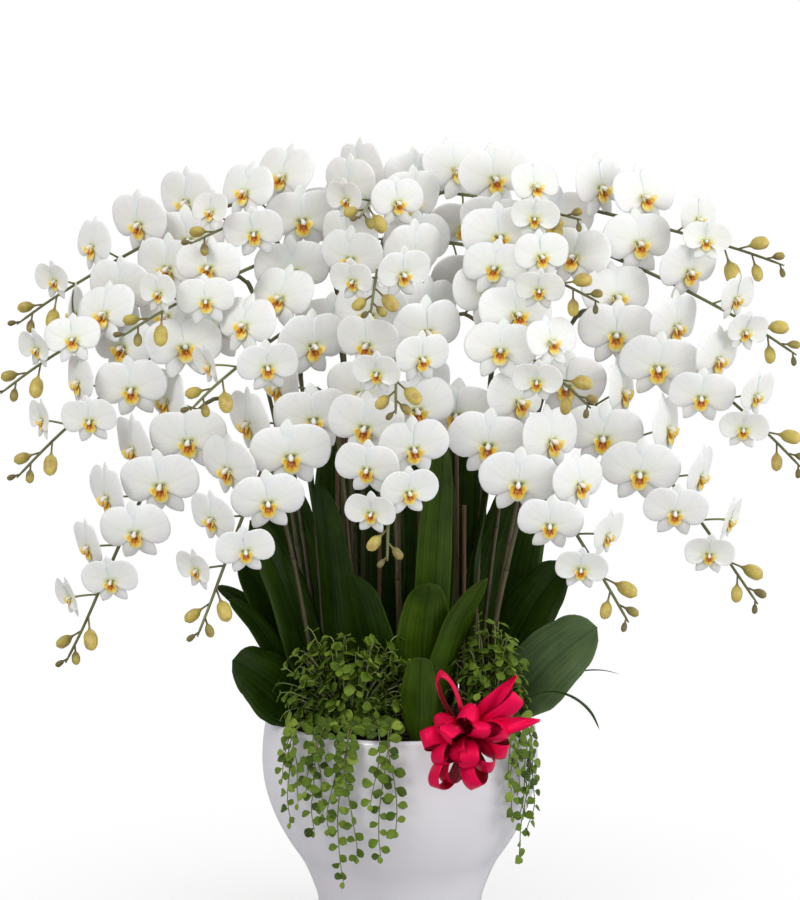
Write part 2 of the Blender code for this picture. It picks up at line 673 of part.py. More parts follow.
def build():
    clear_scene()
    room = Room()
    pot = pot_solid()
    soil = soil_solid()
    room.add(pot, "pot")
    room.add(soil, "soil")
    finish(joined("pot", [pot], smooth=True), (0.90, 0.90, 0.92), 0.12)
    finish(joined("soil", [soil]), (0.05, 0.06, 0.02), 0.95)

    lines = {}
    stems = {}
    for name, spray in SPRAYS.items():
        line = spray_line(spray)
        lines[name] = line
        shares = np.linspace(0, 1, STEM_POINTS)
        radii = np.interp(shares, [0, 0.7, 1], [STEM_RADIUS, STEM_RADIUS * 0.8, STEM_END_RADIUS])
        points, faces = tube(line, radii, 5)
        stems[name] = raise_to_stand((points, faces))
        room.add(stems[name], name)

    knot = bow_knot()
    bow = [knot_solid(knot)] + [bow_loop(knot, *entry) for entry in BOW_LOOPS]
    bow += [bow_tail(knot, *entry) for entry in BOW_TAILS]
    for solid in bow:
        room.add(solid, "bow")
    finish(joined("bow", bow), (0.55, 0.005, 0.04), 0.35)
    pick_line = hermite(in_pot(*BOW_WIRE_FOOT), UP * 0.10, knot + np.array([0.0, 0.0142, 0.004]),
                        np.array([0.0, -0.12, -0.05]), 9)
    pick = raise_to_stand(tube(pick_line, [0.0012] * 9, 5))
    room.add(pick, "bow_pick")
    finish(joined("bow_pick", [pick]), (0.10, 0.20, 0.06), 0.5)

    for name, (place, half, height, strands) in CREEPERS.items():
        solids = [mound_solid(place, half, height)] + [strand_solid(place, *strand) for strand in strands]
        for solid in solids:
            room.add(solid, name)
        finish(joined(name, solids), (0.13, 0.25, 0.03), 0.6)

    for name, (x, y, length) in STAKES.items():
        for right, back in STAKE_TRIES:
            foot = in_pot(x + right, y + back)
            line = np.array([foot, foot + UP * length])
            solid = tube(line, [STAKE_RADIUS] * 2, 8)
            thick = tube(line, [STAKE_RADIUS + 0.001] * 2, 8)
            if room.is_clear(thick):
                room.add(solid, name)
                finish(joined(name, [solid], smooth=True), (0.20, 0.11, 0.05), 0.7)
                break

    for name, entry in LEAVES.items():
        for way in LEAF_TRIES:
            if room.is_clear(raise_to_stand(leaf_solid(entry, *way, spare=GAP * 2))):
                solid = raise_to_stand(leaf_solid(entry, *way))
                room.add(solid, name)
                finish(joined(name, [solid], smooth=True), (0.03, 0.10, 0.02), 0.4)
                break

    buds = {name: buds_of(lines[name], spray[3], spray[6]) for name, spray in SPRAYS.items()}
    bud_solids = {}
    for name in SPRAYS:
        bud_solids[name] = [spindle(np.array([foot, belly, tip]), [0.0013, size * 0.24, 0.0], 5)
                            for foot, belly, tip, size in buds[name]]
        for solid in bud_solids[name]:
            room.add(solid, name)
    for name, spray in SPRAYS.items():
        solids = [stems[name]]
        for at, centre, facing, width, roll in place_blooms(name, spray, lines[name], room):
            solids.append(bloom_solid(centre, facing, width, roll))
            solids.append(pedicel_solid(lines[name], at, centre, facing, width))
        finish(joined(name, solids + bud_solids[name]), (0.90, 0.90, 0.88), 0.45)


build()
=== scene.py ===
"""Looks of the potted orchid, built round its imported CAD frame. Metres, +Z up, front to -Y."""

import itertools
import math

import bpy
import numpy as np
from mathutils.kdtree import KDTree
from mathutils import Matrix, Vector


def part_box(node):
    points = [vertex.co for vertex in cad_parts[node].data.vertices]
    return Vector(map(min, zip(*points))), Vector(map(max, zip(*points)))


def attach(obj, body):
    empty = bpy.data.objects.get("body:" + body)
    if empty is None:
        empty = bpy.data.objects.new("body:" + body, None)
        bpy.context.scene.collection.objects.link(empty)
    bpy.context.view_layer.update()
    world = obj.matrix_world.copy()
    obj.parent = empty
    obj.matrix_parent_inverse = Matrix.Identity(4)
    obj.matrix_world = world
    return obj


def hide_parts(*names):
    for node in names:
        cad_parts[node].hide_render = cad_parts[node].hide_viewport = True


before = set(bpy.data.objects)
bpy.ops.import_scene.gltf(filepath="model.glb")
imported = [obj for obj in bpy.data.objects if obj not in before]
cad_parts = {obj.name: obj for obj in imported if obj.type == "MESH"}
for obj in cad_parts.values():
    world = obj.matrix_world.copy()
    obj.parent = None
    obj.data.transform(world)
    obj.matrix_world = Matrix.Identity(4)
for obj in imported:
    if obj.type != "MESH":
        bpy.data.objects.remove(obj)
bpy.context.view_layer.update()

# ---------------------------------------------------------------- sizes and places, as in the CAD part
POT_HEIGHT = 0.306
POT_RADIUS = 0.183
POT_WALL = 0.008
POT_FLOOR = 0.014
SOIL_DROP = 0.021
GAP = 0.0003
HEAD_RISE = 0.750
HEAD_REACH = 0.490
STEM_RADIUS = 0.0032
STEM_END_RADIUS = 0.0016
STEM_POINTS = 16
BLOOM_WIDTH = 0.100
LAST_BLOOM_WIDTH = 0.062
BLOOM_STEP = 0.033
BUD_STEP = 0.019
RANK_OFFSET = 0.022
PEDICEL = 0.020
BUD_LENGTH = 0.030
STAKE_RADIUS = 0.0030
RIBBON_WIDTH = 0.027
SOIL_TOP = POT_HEIGHT - SOIL_DROP
STAND = SOIL_TOP + GAP
UP = np.array([0.0, 0.0, 1.0])

POT_PROFILE = [(0.640, 0.000), (0.640, 0.030), (0.615, 0.060), (0.598, 0.130), (0.600, 0.190),
               (0.640, 0.265), (0.710, 0.360), (0.815, 0.455), (0.915, 0.570), (0.985, 0.705),
               (1.000, 0.800), (0.992, 0.900), (0.976, 0.968)]

SPRAYS = {
    "low_far_left": ((-0.61, -0.32), (-0.43, -0.16, 0.600), (-0.84, -0.39, 0.165), -34, 24, 9, 4),
    "low_left": ((-0.32, -0.32), (-0.20, -0.20, 0.610), (-0.49, -0.57, 0.230), -20, 26, 9, 4),
    "low_centre": ((0.00, -0.32), (-0.02, -0.22, 0.620), (-0.03, -0.67, 0.360), 0, 18, 9, 3),
    "low_right": ((0.32, -0.32), (0.12, -0.20, 0.610), (0.55, -0.59, 0.255), 20, 24, 9, 4),
    "low_far_right": ((0.61, -0.32), (0.44, -0.16, 0.590), (0.90, -0.37, 0.260), 30, 34, 9, 4),
    "mid_far_left": ((-0.64, -0.06), (-0.44, -0.08, 0.730), (-0.97, -0.31, 0.465), -34, 24, 8, 4),
    "mid_left": ((-0.35, -0.03), (-0.19, -0.12, 0.740), (-0.51, -0.49, 0.585), -18, 18, 6, 4),
    "mid_centre": ((0.00, 0.00), (-0.01, -0.12, 0.745), (-0.01, -0.61, 0.585), 0, 20, 6, 4),
    "mid_right": ((0.35, -0.03), (0.14, -0.12, 0.735), (0.46, -0.53, 0.590), 14, 18, 6, 4),
    "mid_far_right": ((0.64, -0.06), (0.49, -0.08, 0.740), (1.02, -0.29, 0.480), 22, 26, 8, 4),
    "high_far_left": ((-0.61, 0.20), (-0.45, 0.00, 0.810), (-1.03, -0.20, 0.600), -34, 22, 7, 4),
    "high_left": ((-0.32, 0.23), (-0.22, -0.02, 0.850), (-0.69, -0.37, 0.700), -20, 18, 7, 4),
    "high_centre": ((0.00, 0.26), (-0.04, -0.04, 0.865), (-0.07, -0.53, 0.740), 0, 20, 6, 4),
    "high_right": ((0.32, 0.23), (0.10, -0.02, 0.860), (0.49, -0.41, 0.755), 14, 18, 7, 4),
    "high_far_right": ((0.61, 0.20), (0.45, 0.00, 0.850), (1.02, -0.20, 0.665), 24, 22, 8, 4),
    "top_far_left": ((-0.58, 0.47), (-0.40, 0.08, 0.925), (-1.00, -0.12, 0.715), -32, 20, 7, 4),
    "top_left": ((-0.29, 0.50), (-0.17, 0.10, 0.945), (-0.53, -0.27, 0.850), -22, 18, 6, 3),
    "top_centre": ((0.00, 0.52), (-0.03, 0.10, 0.960), (-0.10, -0.39, 0.890), 0, 20, 6, 4),
    "top_right": ((0.29, 0.50), (0.11, 0.10, 0.945), (0.46, -0.24, 0.890), 16, 18, 6, 3),
    "top_far_right": ((0.58, 0.47), (0.36, 0.06, 0.930), (1.00, -0.12, 0.815), 24, 20, 7, 5),
}
LEAVES = {
    "leaf_left_low": (-0.69, -0.29, -70, 0.150, 0.092, 58, 30, 8, 62),
    "leaf_left_high": (-0.79, 0.07, -74, 0.245, 0.080, 86, 50, 12, 56),
    "leaf_left_tall": (-0.66, -0.27, -76, 0.300, 0.076, 86, 58, 14, 56),
    "leaf_left_small": (-0.83, -0.17, -78, 0.205, 0.036, 88, 36, 12, 60),
    "leaf_left_upper": (-0.83, 0.17, -86, 0.225, 0.036, 88, 26, 12, 50),
    "leaf_right_broad": (0.79, -0.21, 76, 0.194, 0.100, 64, 31, 10, 64),
    "leaf_right_high": (0.79, 0.15, 78, 0.240, 0.094, 86, 44, 12, 60),
    "leaf_right_front": (0.27, -0.47, 48, 0.240, 0.066, 84, 50, 18, 0),
    "leaf_front_broad": (0.15, -0.50, 8, 0.235, 0.072, 88, 50, 14, 0),
    "leaf_front_folded": (0.14, -0.82, 4, 0.130, 0.056, 88, 62, 36, 0),
    "leaf_front_left": (-0.14, -0.47, -30, 0.245, 0.066, 87, 52, 16, 0),
    "leaf_centre_tall": (0.24, -0.43, 26, 0.390, 0.056, 89, 80, 20, 0),
    "leaf_centre_left": (-0.44, -0.32, -34, 0.340, 0.060, 89, 72, 18, 0),
    "leaf_rear_far_left": (-0.72, 0.56, -116, 0.340, 0.104, 88, 66, 12, 50),
    "leaf_rear_left": (-0.36, 0.76, -165, 0.430, 0.120, 88, 74, 12, 0),
    "leaf_rear_centre": (0.00, 0.84, 172, 0.440, 0.120, 88, 76, 12, 0),
    "leaf_rear_right": (0.36, 0.82, 157, 0.430, 0.120, 88, 74, 12, 0),
    "leaf_rear_far_right": (0.72, 0.56, 118, 0.345, 0.104, 88, 64, 12, 50),
    "leaf_mid_left": (-0.56, 0.12, -50, 0.380, 0.094, 89, 76, 12, 40),
    "leaf_mid_right": (0.54, 0.12, 50, 0.360, 0.094, 89, 76, 12, 40),
    "leaf_inner_left": (-0.20, 0.56, -170, 0.420, 0.090, 89, 80, 12, 0),
    "leaf_inner_right": (0.20, 0.58, 170, 0.420, 0.090, 89, 80, 12, 0),
    "leaf_back_left": (-0.56, 0.72, -142, 0.225, 0.070, 74, -10, 16, 0),
    "leaf_back_centre": (0.19, 0.87, 172, 0.235, 0.070, 74, -8, 16, 0),
    "leaf_back_right": (0.56, 0.72, 138, 0.225, 0.070, 74, -10, 16, 0),
    "blade_right_upper": (0.83, -0.22, 84, 0.185, 0.010, 66, -18, 8, 0),
    "blade_right_lower": (0.79, -0.37, 58, 0.190, 0.010, 74, -70, 8, 0),
}
CREEPERS = {
    "creeper_left": ((-0.38, -0.69), (0.52, 0.14), 0.136,
                     [(-45, 0.112, 0.034), (-33, 0.116, 0.030), (-22, 0.178, 0.044), (-6, 0.140, 0.040)]),
    "creeper_right": ((0.68, -0.49), (0.28, 0.12), 0.145,
                      [(47, 0.104, 0.026), (57, 0.166, 0.042)]),
}
BOW_HEADING = 20.5
BOW_OUT = 0.050
BOW_UP = 0.020
BOW_WIRE_FOOT = (0.45, -0.69)
BOW_LOOPS = [(248, 20, 0.064, 0.016), (283, 26, 0.068, 0.016), (218, 40, 0.056, 0.015),
             (186, 16, 0.056, 0.014), (150, 30, 0.046, 0.014), (112, 12, 0.086, 0.012),
             (84, 44, 0.050, 0.014), (38, 12, 0.082, 0.014), (12, 30, 0.058, 0.014),
             (-20, 14, 0.056, 0.014), (-48, 34, 0.056, 0.015), (-84, 52, 0.050, 0.014),
             (250, 58, 0.044, 0.014)]
BOW_ROLLS = [78, 58, 84, 30, 62, 68, 50, 20, 72, 44, 80, 30, 66]
BOW_TAILS = [(56, 10, 0.110), (22, 16, 0.100)]
OUTLINE = [(0.00, 0.47, -0.02), (0.14, 0.35, 0.00), (0.32, 0.39, 0.00), (0.49, 0.20, 0.01),
           (0.46, -0.04, 0.01), (0.27, -0.13, 0.00), (0.23, -0.33, -0.05), (0.00, -0.22, -0.02)]
OUTLINE = OUTLINE + [(-x, y, n) for x, y, n in OUTLINE[6:0:-1]]
TRIES = sorted(itertools.product((0, -12, 12, -24, 24, -36), (0, 12, -12, 24, -24, 36), (0, 1, 2, -0.6, 3)),
               key=lambda way: (abs(way[0]) / 12 + abs(way[1]) / 12 + abs(way[2]) * 1.1, way))

# ---------------------------------------------------------------- what only the looks need
GOLDEN_ANGLE = 2.399963  # radians
STEM_FINE_POINTS = 72
SPRIGS_PER_AREA = 1e6 / 84  # one to every 84 mm2 of a mound's half width times its height
BARK_CHIPS = 230
MOUND_LEVELS = (0.00, 0.10, 0.26, 0.50, 0.75, 0.93)
MOUND_WIDTHS = (0.40, 0.42, 0.78, 1.00, 0.86, 0.48)
LEAF_WIDTHS = (0.22, 0.50, 0.78, 0.94, 1.00, 0.97, 0.86, 0.58, 0.16)
BUD_TONES = (0.30, 0.52, 0.84, 1.0, 1.0)
GREY = "leaf_right_broad"
# Front leaves that get the brighter copy of the leaf green, partly painted light where light falls on the
# front.
LIT_BRIGHT_LEAVES = ("leaf_front_folded", "leaf_centre_tall", "leaf_front_broad", "leaf_right_front")
SMALL_LOOPS = [(239, 22, 0.076, 0.017, 74), (158, 58, 0.052, 0.012, 60), (40, 60, 0.050, 0.011, 34),
               (278, 60, 0.050, 0.012, 16)]
CORNER_NEAR = 0.00012  # how near a flower's corner a CAD corner has to be
CORNERS_HELD = 9  # and how many of a flower's corners have to be found


# ---------------------------------------------------------------- the CAD's own lines
def unit(vector):
    vector = np.asarray(vector, float)
    return vector / np.linalg.norm(vector)


def heading(degrees, climb=0.0):
    a = math.radians(degrees)
    c = math.radians(climb)
    return np.array([math.sin(a) * math.cos(c), -math.cos(a) * math.cos(c), math.sin(c)])


def hermite(start, start_pull, end, end_pull, count):
    t = np.linspace(0, 1, count)[:, None]
    return ((2 * t**3 - 3 * t**2 + 1) * start + (t**3 - 2 * t**2 + t) * start_pull
            + (-2 * t**3 + 3 * t**2) * end + (t**3 - t**2) * end_pull)


def lengths(line):
    return np.concatenate([[0], np.cumsum(np.linalg.norm(np.diff(line, axis=0), axis=1))])


def point_at(line, distance):
    run = lengths(line)
    return np.array([np.interp(distance, run, line[:, k]) for k in range(3)])


def direction_at(line, distance):
    end = lengths(line)[-1]
    a = min(max(distance - 0.004, 0), end - 0.008)
    return unit(point_at(line, a + 0.008) - point_at(line, a))


def resample(line, count, power=1.0):
    end = lengths(line)[-1]
    return np.array([point_at(line, end * (k / (count - 1)) ** power) for k in range(count)])


def rim_radius():
    return POT_PROFILE[-1][0] * POT_RADIUS


def pot_inside():
    outside = [(r * POT_RADIUS, z * POT_HEIGHT) for r, z in POT_PROFILE]
    inside = [(outside[2][0] - POT_WALL * 1.3, POT_FLOOR)]
    inside += [(r - POT_WALL, z) for r, z in outside[2:-1] if z > POT_FLOOR + 0.004]
    return inside + [(rim_radius() - POT_WALL * 1.6, POT_HEIGHT * 0.975)]


def pot_radius_at(level):
    share = level / POT_HEIGHT
    return POT_RADIUS * float(np.interp(share, [z for _, z in POT_PROFILE], [r for r, _ in POT_PROFILE]))


def soil_radius():
    inside = pot_inside()
    return float(np.interp(SOIL_TOP, [z for _, z in inside], [r for r, _ in inside])) - GAP * 2


def in_pot(right, back):
    return np.array([right * soil_radius(), back * soil_radius(), STAND])


def spray_line(spray):
    base, crown, tip = spray[0], spray[1], spray[2]
    size = np.array([HEAD_REACH, HEAD_REACH, HEAD_RISE])
    start = in_pot(*base)
    top = np.array(crown) * size + UP * SOIL_TOP
    end = np.array(tip) * size + UP * SOIL_TOP
    run = end - top
    level = unit([run[0], run[1], 0])
    rise = np.linalg.norm(top - start)
    fall = np.linalg.norm(run)
    drop = unit([level[0], level[1], run[2] / fall * 1.9])
    lean = unit([(top - start)[0] * 0.3, (top - start)[1] * 0.3, rise])
    climb = hermite(start, lean * rise, top, level * rise * 0.25, 30)
    pull = fall * (0.25 + 0.55 * abs(run[2]) / fall)
    arch = hermite(top, level * pull, end, drop * pull, 50)
    return resample(np.vstack([climb, arch[1:]]), STEM_POINTS, 0.75)


def sideways(facing_degrees, ahead):
    side = unit(np.cross(heading(facing_degrees), ahead))
    return side if side[0] >= 0 else -side


def axes_of(facing, roll):
    right = unit(np.cross(UP, facing))
    up = np.cross(facing, right)
    c = math.cos(roll)
    s = math.sin(roll)
    return right * c + up * s, up * c - right * s


def buds_of(line, face, buds):
    end = lengths(line)[-1]
    found = []
    for j in range(buds):
        at = end - 0.006 - j * BUD_STEP
        ahead = direction_at(line, at)
        side = sideways(face, ahead) * (1 if j % 2 else -1)
        size = BUD_LENGTH * (0.42 + 0.20 * j)
        out = unit(side * 0.75 + heading(face) * 0.35 + ahead * 0.45 - UP * 0.25)
        neck = point_at(line, at) + out * (0.004 + 0.003 * j)
        belly = neck + out * size * 0.55 - UP * size * 0.10
        found.append((at, belly, neck + out * size - UP * size * 0.22, size))
    return found


def corners_of(node):
    """Search tree of the corners of a CAD node's mesh."""
    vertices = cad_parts[node].data.vertices
    tree = KDTree(len(vertices))
    for k, vertex in enumerate(vertices):
        tree.insert(vertex.co, k)
    tree.balance()
    return tree


def blooms_of(node, spray, line):
    """Where the CAD node holds each of the spray's flowers."""
    corners = corners_of(node)
    face, spread, count, buds = spray[3:]
    end = lengths(line)[-1]
    first = end - 0.016 - buds * BUD_STEP
    found = []
    for i in range(count):
        share = i / max(count - 1, 1)
        at = first - i * BLOOM_STEP
        side = 1 if i % 2 else -1
        width = LAST_BLOOM_WIDTH + (BLOOM_WIDTH - LAST_BLOOM_WIDTH) * min(1.0, share * 1.9)
        across = sideways(face, direction_at(line, at))
        for tilt, turn, out in TRIES:
            facing = heading(face + side * (spread + turn), -8 - 6 * (1 - share) + tilt)
            centre = point_at(line, at) + across * side * RANK_OFFSET * width / BLOOM_WIDTH
            centre = centre + facing * (PEDICEL * (1 + 0.45 * out) + 0.09 * width)
            roll = math.radians(side * 5)
            right, up = axes_of(facing, roll)
            held = 0
            for x, y, n in OUTLINE:
                held += corners.find(centre + width * (x * right + y * up + n * facing))[2] < CORNER_NEAR
            if held >= CORNERS_HELD:
                found.append((i, at, centre, facing, width, roll))
                break
    return found


# ---------------------------------------------------------------- mesh tools
class Shape:
    """Points, faces, places (flat coordinates) and tones of one piece, gathered body by body."""

    def __init__(self, *first):
        self.points, self.faces, self.places, self.tones, self.slots = [], [], [], [], []
        self.count = 0
        if first:
            self.add(*first)

    def add(self, body, slot=0, tone=0.5):
        """Add points, faces and, if given, places; tone may be worked out from across and along."""
        points, faces, *places = body
        places = np.asarray(places[0], float) if places else np.zeros((len(points), 2))
        self.points.append(np.asarray(points, float))
        self.faces += [tuple(i + self.count for i in face) for face in faces]
        self.places.append(places)
        self.tones.append(np.broadcast_to(tone(*places.T) if callable(tone) else tone, len(points)))
        self.slots += [slot] * len(faces)
        self.count += len(points)

    def build(self, name, materials, smooth=True):
        mesh = bpy.data.meshes.new(name)
        mesh.from_pydata(np.vstack(self.points).tolist(), [], self.faces)
        corner = np.empty(len(mesh.loops), np.int32)
        mesh.loops.foreach_get("vertex_index", corner)
        layer = mesh.uv_layers.new(name="place")
        layer.data.foreach_set("uv", np.vstack(self.places)[corner].astype(np.float32).ravel())
        tone = mesh.attributes.new("tone", "FLOAT", "POINT")
        tone.data.foreach_set("value", np.concatenate(self.tones).astype(np.float32))
        for made in materials:
            mesh.materials.append(made)
        mesh.polygons.foreach_set("material_index", np.array(self.slots, np.int32))
        mesh.polygons.foreach_set("use_smooth", np.full(len(mesh.polygons), smooth))
        mesh.update()
        item = bpy.data.objects.new(name, mesh)
        bpy.context.scene.collection.objects.link(item)
        return item


def show(shape, name, materials, node, smooth=True):
    """Build a piece, hang it under the root body, hide the CAD node it replaces and give it its materials."""
    item = shape.build(name, materials, smooth)
    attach(item, "root")
    if node:
        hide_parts(node)
    return item


def ring_faces(rings, sides, first=0, turned=False):
    """Quads between rings of points that follow one another."""
    faces = []
    for k in range(rings - 1):
        for j in range(sides):
            a = first + k * sides + j
            b = first + k * sides + (j + 1) % sides
            faces.append((a, a + sides, b + sides, b) if turned else (a, b, b + sides, a + sides))
    return faces


def fan(middle, ring, sides, turned=False):
    """Triangles between one point and a ring of points."""
    pairs = [(ring + j, ring + (j + 1) % sides) for j in range(sides)]
    return [(b, a, middle) if turned else (a, b, middle) for a, b in pairs]


def thick_sheet(grid, thick, rounding=4.0):
    """Closed sheet round a grid of points, thinning to its edges; places run from 0 to 1."""
    rows, cols = grid.shape[:2]
    normal = np.cross(np.gradient(grid, axis=0), np.gradient(grid, axis=1))
    normal /= np.maximum(np.linalg.norm(normal, axis=2, keepdims=True), 1e-12)
    u = np.linspace(-1, 1, rows)[:, None]
    v = np.linspace(-1, 1, cols)[None, :]
    half = 0.5 * thick * np.clip((1 - np.abs(u) ** rounding) * (1 - np.abs(v) ** rounding), 0.12, 1)
    front = (grid + normal * half[..., None]).reshape(-1, 3)
    back = (grid - normal * half[..., None]).reshape(-1, 3)
    place = np.stack(np.broadcast_arrays((u + 1) / 2, (v + 1) / 2), axis=-1).reshape(-1, 2)
    faces = []
    n = rows * cols
    for a in range(rows - 1):
        for i in range(a * cols, a * cols + cols - 1):
            faces.append((i, i + cols, i + cols + 1, i + 1))
            faces.append((n + i, n + i + 1, n + i + cols + 1, n + i + cols))
    edge = list(range(cols)) + [a * cols + cols - 1 for a in range(1, rows)]
    edge += list(range(n - 2, n - cols - 1, -1)) + [a * cols for a in range(rows - 2, 0, -1)]
    faces += [(a, b, n + b, n + a) for a, b in zip(edge, edge[1:] + edge[:1])]
    return np.vstack([front, back]), faces, np.vstack([place, place])


def tube(line, radii, sides):
    """Closed round tube; places are the share of a turn and the metres along."""
    line = np.asarray(line, float)
    a = np.arange(sides)[:, None] * 2 * math.pi / sides
    rings = []
    side = np.cross(line[1] - line[0], [0.31, 0.95, 0.05])
    for k, centre in enumerate(line):
        ahead = unit(line[min(k + 1, len(line) - 1)] - line[max(k - 1, 0)])
        side = unit(side - ahead * np.dot(side, ahead))
        rings.append(centre + radii[k] * (np.cos(a) * side + np.sin(a) * np.cross(ahead, side)))
    along = np.repeat(lengths(line), sides)
    places = np.stack([np.tile(np.arange(sides) / sides, len(line)), along], axis=1)
    caps = len(line) * sides
    faces = ring_faces(len(line), sides) + fan(caps, 0, sides, True) + fan(caps + 1, caps - sides, sides)
    places = np.vstack([places, [[0.5, 0.0], [0.5, along[-1]]]])
    return np.vstack(rings + [line[:1], line[-1:]]), faces, places


def smooth_line(line, count):
    """Curve through the points of a line, evenly divided by length."""
    line = np.asarray(line, float)
    run = lengths(line)
    slope = np.gradient(line, run, axis=0)
    pieces = []
    for k in range(len(line) - 1):
        step = run[k + 1] - run[k]
        pieces.append(hermite(line[k], slope[k] * step, line[k + 1], slope[k + 1] * step, 9)[:-1])
    return resample(np.vstack(pieces + [line[-1:]]), count)


def circle(sides):
    """Cosine and sine of evenly spaced angles."""
    return [(math.cos(a), math.sin(a)) for a in 2 * math.pi * np.arange(sides) / sides]


def lathe(profile, sides):
    """Closed round body from (radius, level) pairs that begin and end on its axis."""
    rings = len(profile) - 2
    points = [(0.0, 0.0, profile[0][1])]
    for radius, level in profile[1:-1]:
        points += [(radius * c, radius * s, level) for c, s in circle(sides)]
    points.append((0.0, 0.0, profile[-1][1]))
    faces = fan(0, 1, sides, True) + fan(len(points) - 1, 1 + (rings - 1) * sides, sides)
    return points, faces + ring_faces(rings, sides, 1)


# ---------------------------------------------------------------- finishes
class Nodes:
    """Short ways to add and link the nodes of one tree."""

    def __init__(self, tree):
        self.tree = tree

    def node(self, kind, inputs=None, **settings):
        made = self.tree.nodes.new(kind)
        for key, value in settings.items():
            setattr(made, key, value)
        for key, value in (inputs or {}).items():
            if isinstance(value, bpy.types.NodeSocket):
                self.tree.links.new(value, made.inputs[key])
            else:
                made.inputs[key].default_value = value
        return made

    def level(self, value, low, high, to_low=0.0, to_high=1.0):
        made = self.node("ShaderNodeMapRange", {"Value": value, "From Min": low, "From Max": high,
                                                "To Min": to_low, "To Max": to_high})
        return made.outputs["Result"]

    def math(self, operation, a, b):
        return self.node("ShaderNodeMath", {0: a, 1: b}, operation=operation).outputs[0]


class Finish(Nodes):
    """One node material, built up round a Principled shader."""

    def __init__(self, name, colour, rough, **fixed):
        self.made = bpy.data.materials.new(name)
        self.made.use_nodes = True
        self.made.diffuse_color = (*colour, 1.0)
        super().__init__(self.made.node_tree)
        self.shader = self.tree.nodes["Principled BSDF"]
        fixed.update(Base_Color=(*colour, 1.0), Roughness=rough)
        for socket, value in fixed.items():
            self.shader.inputs[socket.replace("_", " ")].default_value = value
        self.spot = self.node("ShaderNodeTexCoord").outputs["Object"]
        self.place = self.node("ShaderNodeUVMap", uv_map="place").outputs["UV"]
        self.tone = self.node("ShaderNodeAttribute", attribute_name="tone").outputs["Fac"]

    def noise(self, vector, scale, detail=3.0, rough=0.55, distort=0.0):
        return self.node("ShaderNodeTexNoise", {"Vector": vector, "Scale": scale, "Detail": detail,
                                                "Roughness": rough, "Distortion": distort}).outputs["Fac"]

    def scaled(self, x, y, z=1, vector=None):
        vector = self.place if vector is None else vector
        return self.node("ShaderNodeMapping", {"Vector": vector, "Scale": (x, y, z)}).outputs["Vector"]

    def streaks(self, x, y, detail, rough, distort=0.0):
        """Noise drawn out over the flat coordinates."""
        return self.noise(self.scaled(x, y), 1.0, detail, rough, distort)

    def drift(self, scale, low, high, detail=2.0):
        """Noise over the object, spread between two values."""
        return self.level(self.noise(self.spot, scale, detail), 0.3, 0.7, low, high)

    def cells(self, scale):
        return self.node("ShaderNodeTexVoronoi", {"Vector": self.spot, "Scale": scale}).outputs["Distance"]

    def waves(self, vector, scale, distort, direction):
        return self.node("ShaderNodeTexWave", {"Vector": vector, "Scale": scale, "Distortion": distort},
                         bands_direction=direction).outputs["Fac"]

    def off_middle(self):
        """How far a point is from the middle of its sheet, across it."""
        across = self.node("ShaderNodeSeparateXYZ", {"Vector": self.place}).outputs["X"]
        return self.math("ABSOLUTE", self.math("SUBTRACT", across, 0.5), 0.0)

    def ramp(self, value, *stops):
        made = self.node("ShaderNodeValToRGB", {"Fac": value})
        band = made.color_ramp
        while len(band.elements) < len(stops):
            band.elements.new(0.5)
        for element, (at, *colour) in zip(band.elements, stops):
            element.position = at
            element.color = (*colour, 1.0)
        return made.outputs["Color"]

    def toned(self, scale, spread, detail, *stops):
        """Colours by the points' tone, a little disturbed."""
        return self.ramp(self.math("ADD", self.tone, self.drift(scale, -spread, spread, detail)), *stops)

    def mix(self, factor, a, b):
        made = self.node("ShaderNodeMix", {"Factor": factor}, data_type="RGBA", blend_type="MIX")
        for key, value in ((6, a), (7, b)):
            if isinstance(value, bpy.types.NodeSocket):
                self.tree.links.new(value, made.inputs[key])
            else:
                made.inputs[key].default_value = (*value, 1.0)
        return made.outputs[2]

    def end(self, colour, rough, height, strength, distance):
        """Link colour, roughness and bump to the shader, and hand over the material."""
        bump = self.node("ShaderNodeBump", {"Height": height, "Strength": strength, "Distance": distance})
        self.tree.links.new(colour, self.shader.inputs["Base Color"])
        self.tree.links.new(bump.outputs["Normal"], self.shader.inputs["Normal"])
        if rough is not None:
            self.tree.links.new(rough, self.shader.inputs["Roughness"])
        return self.made


def petal_finish():
    f = Finish("petal", (0.86, 0.86, 0.85), 0.48, Subsurface_Weight=0.12, Subsurface_Scale=0.004)
    drawn = f.node("ShaderNodeVectorMath", {0: f.scaled(34, 1.6), 1: f.noise(f.spot, 9.0, 1.0)},
                   operation="ADD")
    veins = f.noise(drawn.outputs[0], 1.0, 2.5, 0.6, 0.35)
    base = f.ramp(f.tone, (0.0, 0.60, 0.62, 0.16), (0.08, 0.76, 0.78, 0.52), (0.18, 0.84, 0.85, 0.79),
                  (0.70, 0.84, 0.84, 0.83), (1.0, 0.87, 0.87, 0.865))
    base = f.mix(f.level(veins, 0.50, 0.66, 0.0, 0.30), base, (0.70, 0.69, 0.76))
    base = f.mix(f.level(f.noise(f.spot, 14.0, 2.0), 0.35, 0.75, 0.0, 0.20), base, (0.86, 0.83, 0.76))
    height = f.math("ADD", veins, f.math("MULTIPLY", f.cells(900.0), 0.35))
    return f.end(base, f.drift(260.0, 0.40, 0.58), height, 0.35, 0.0005)


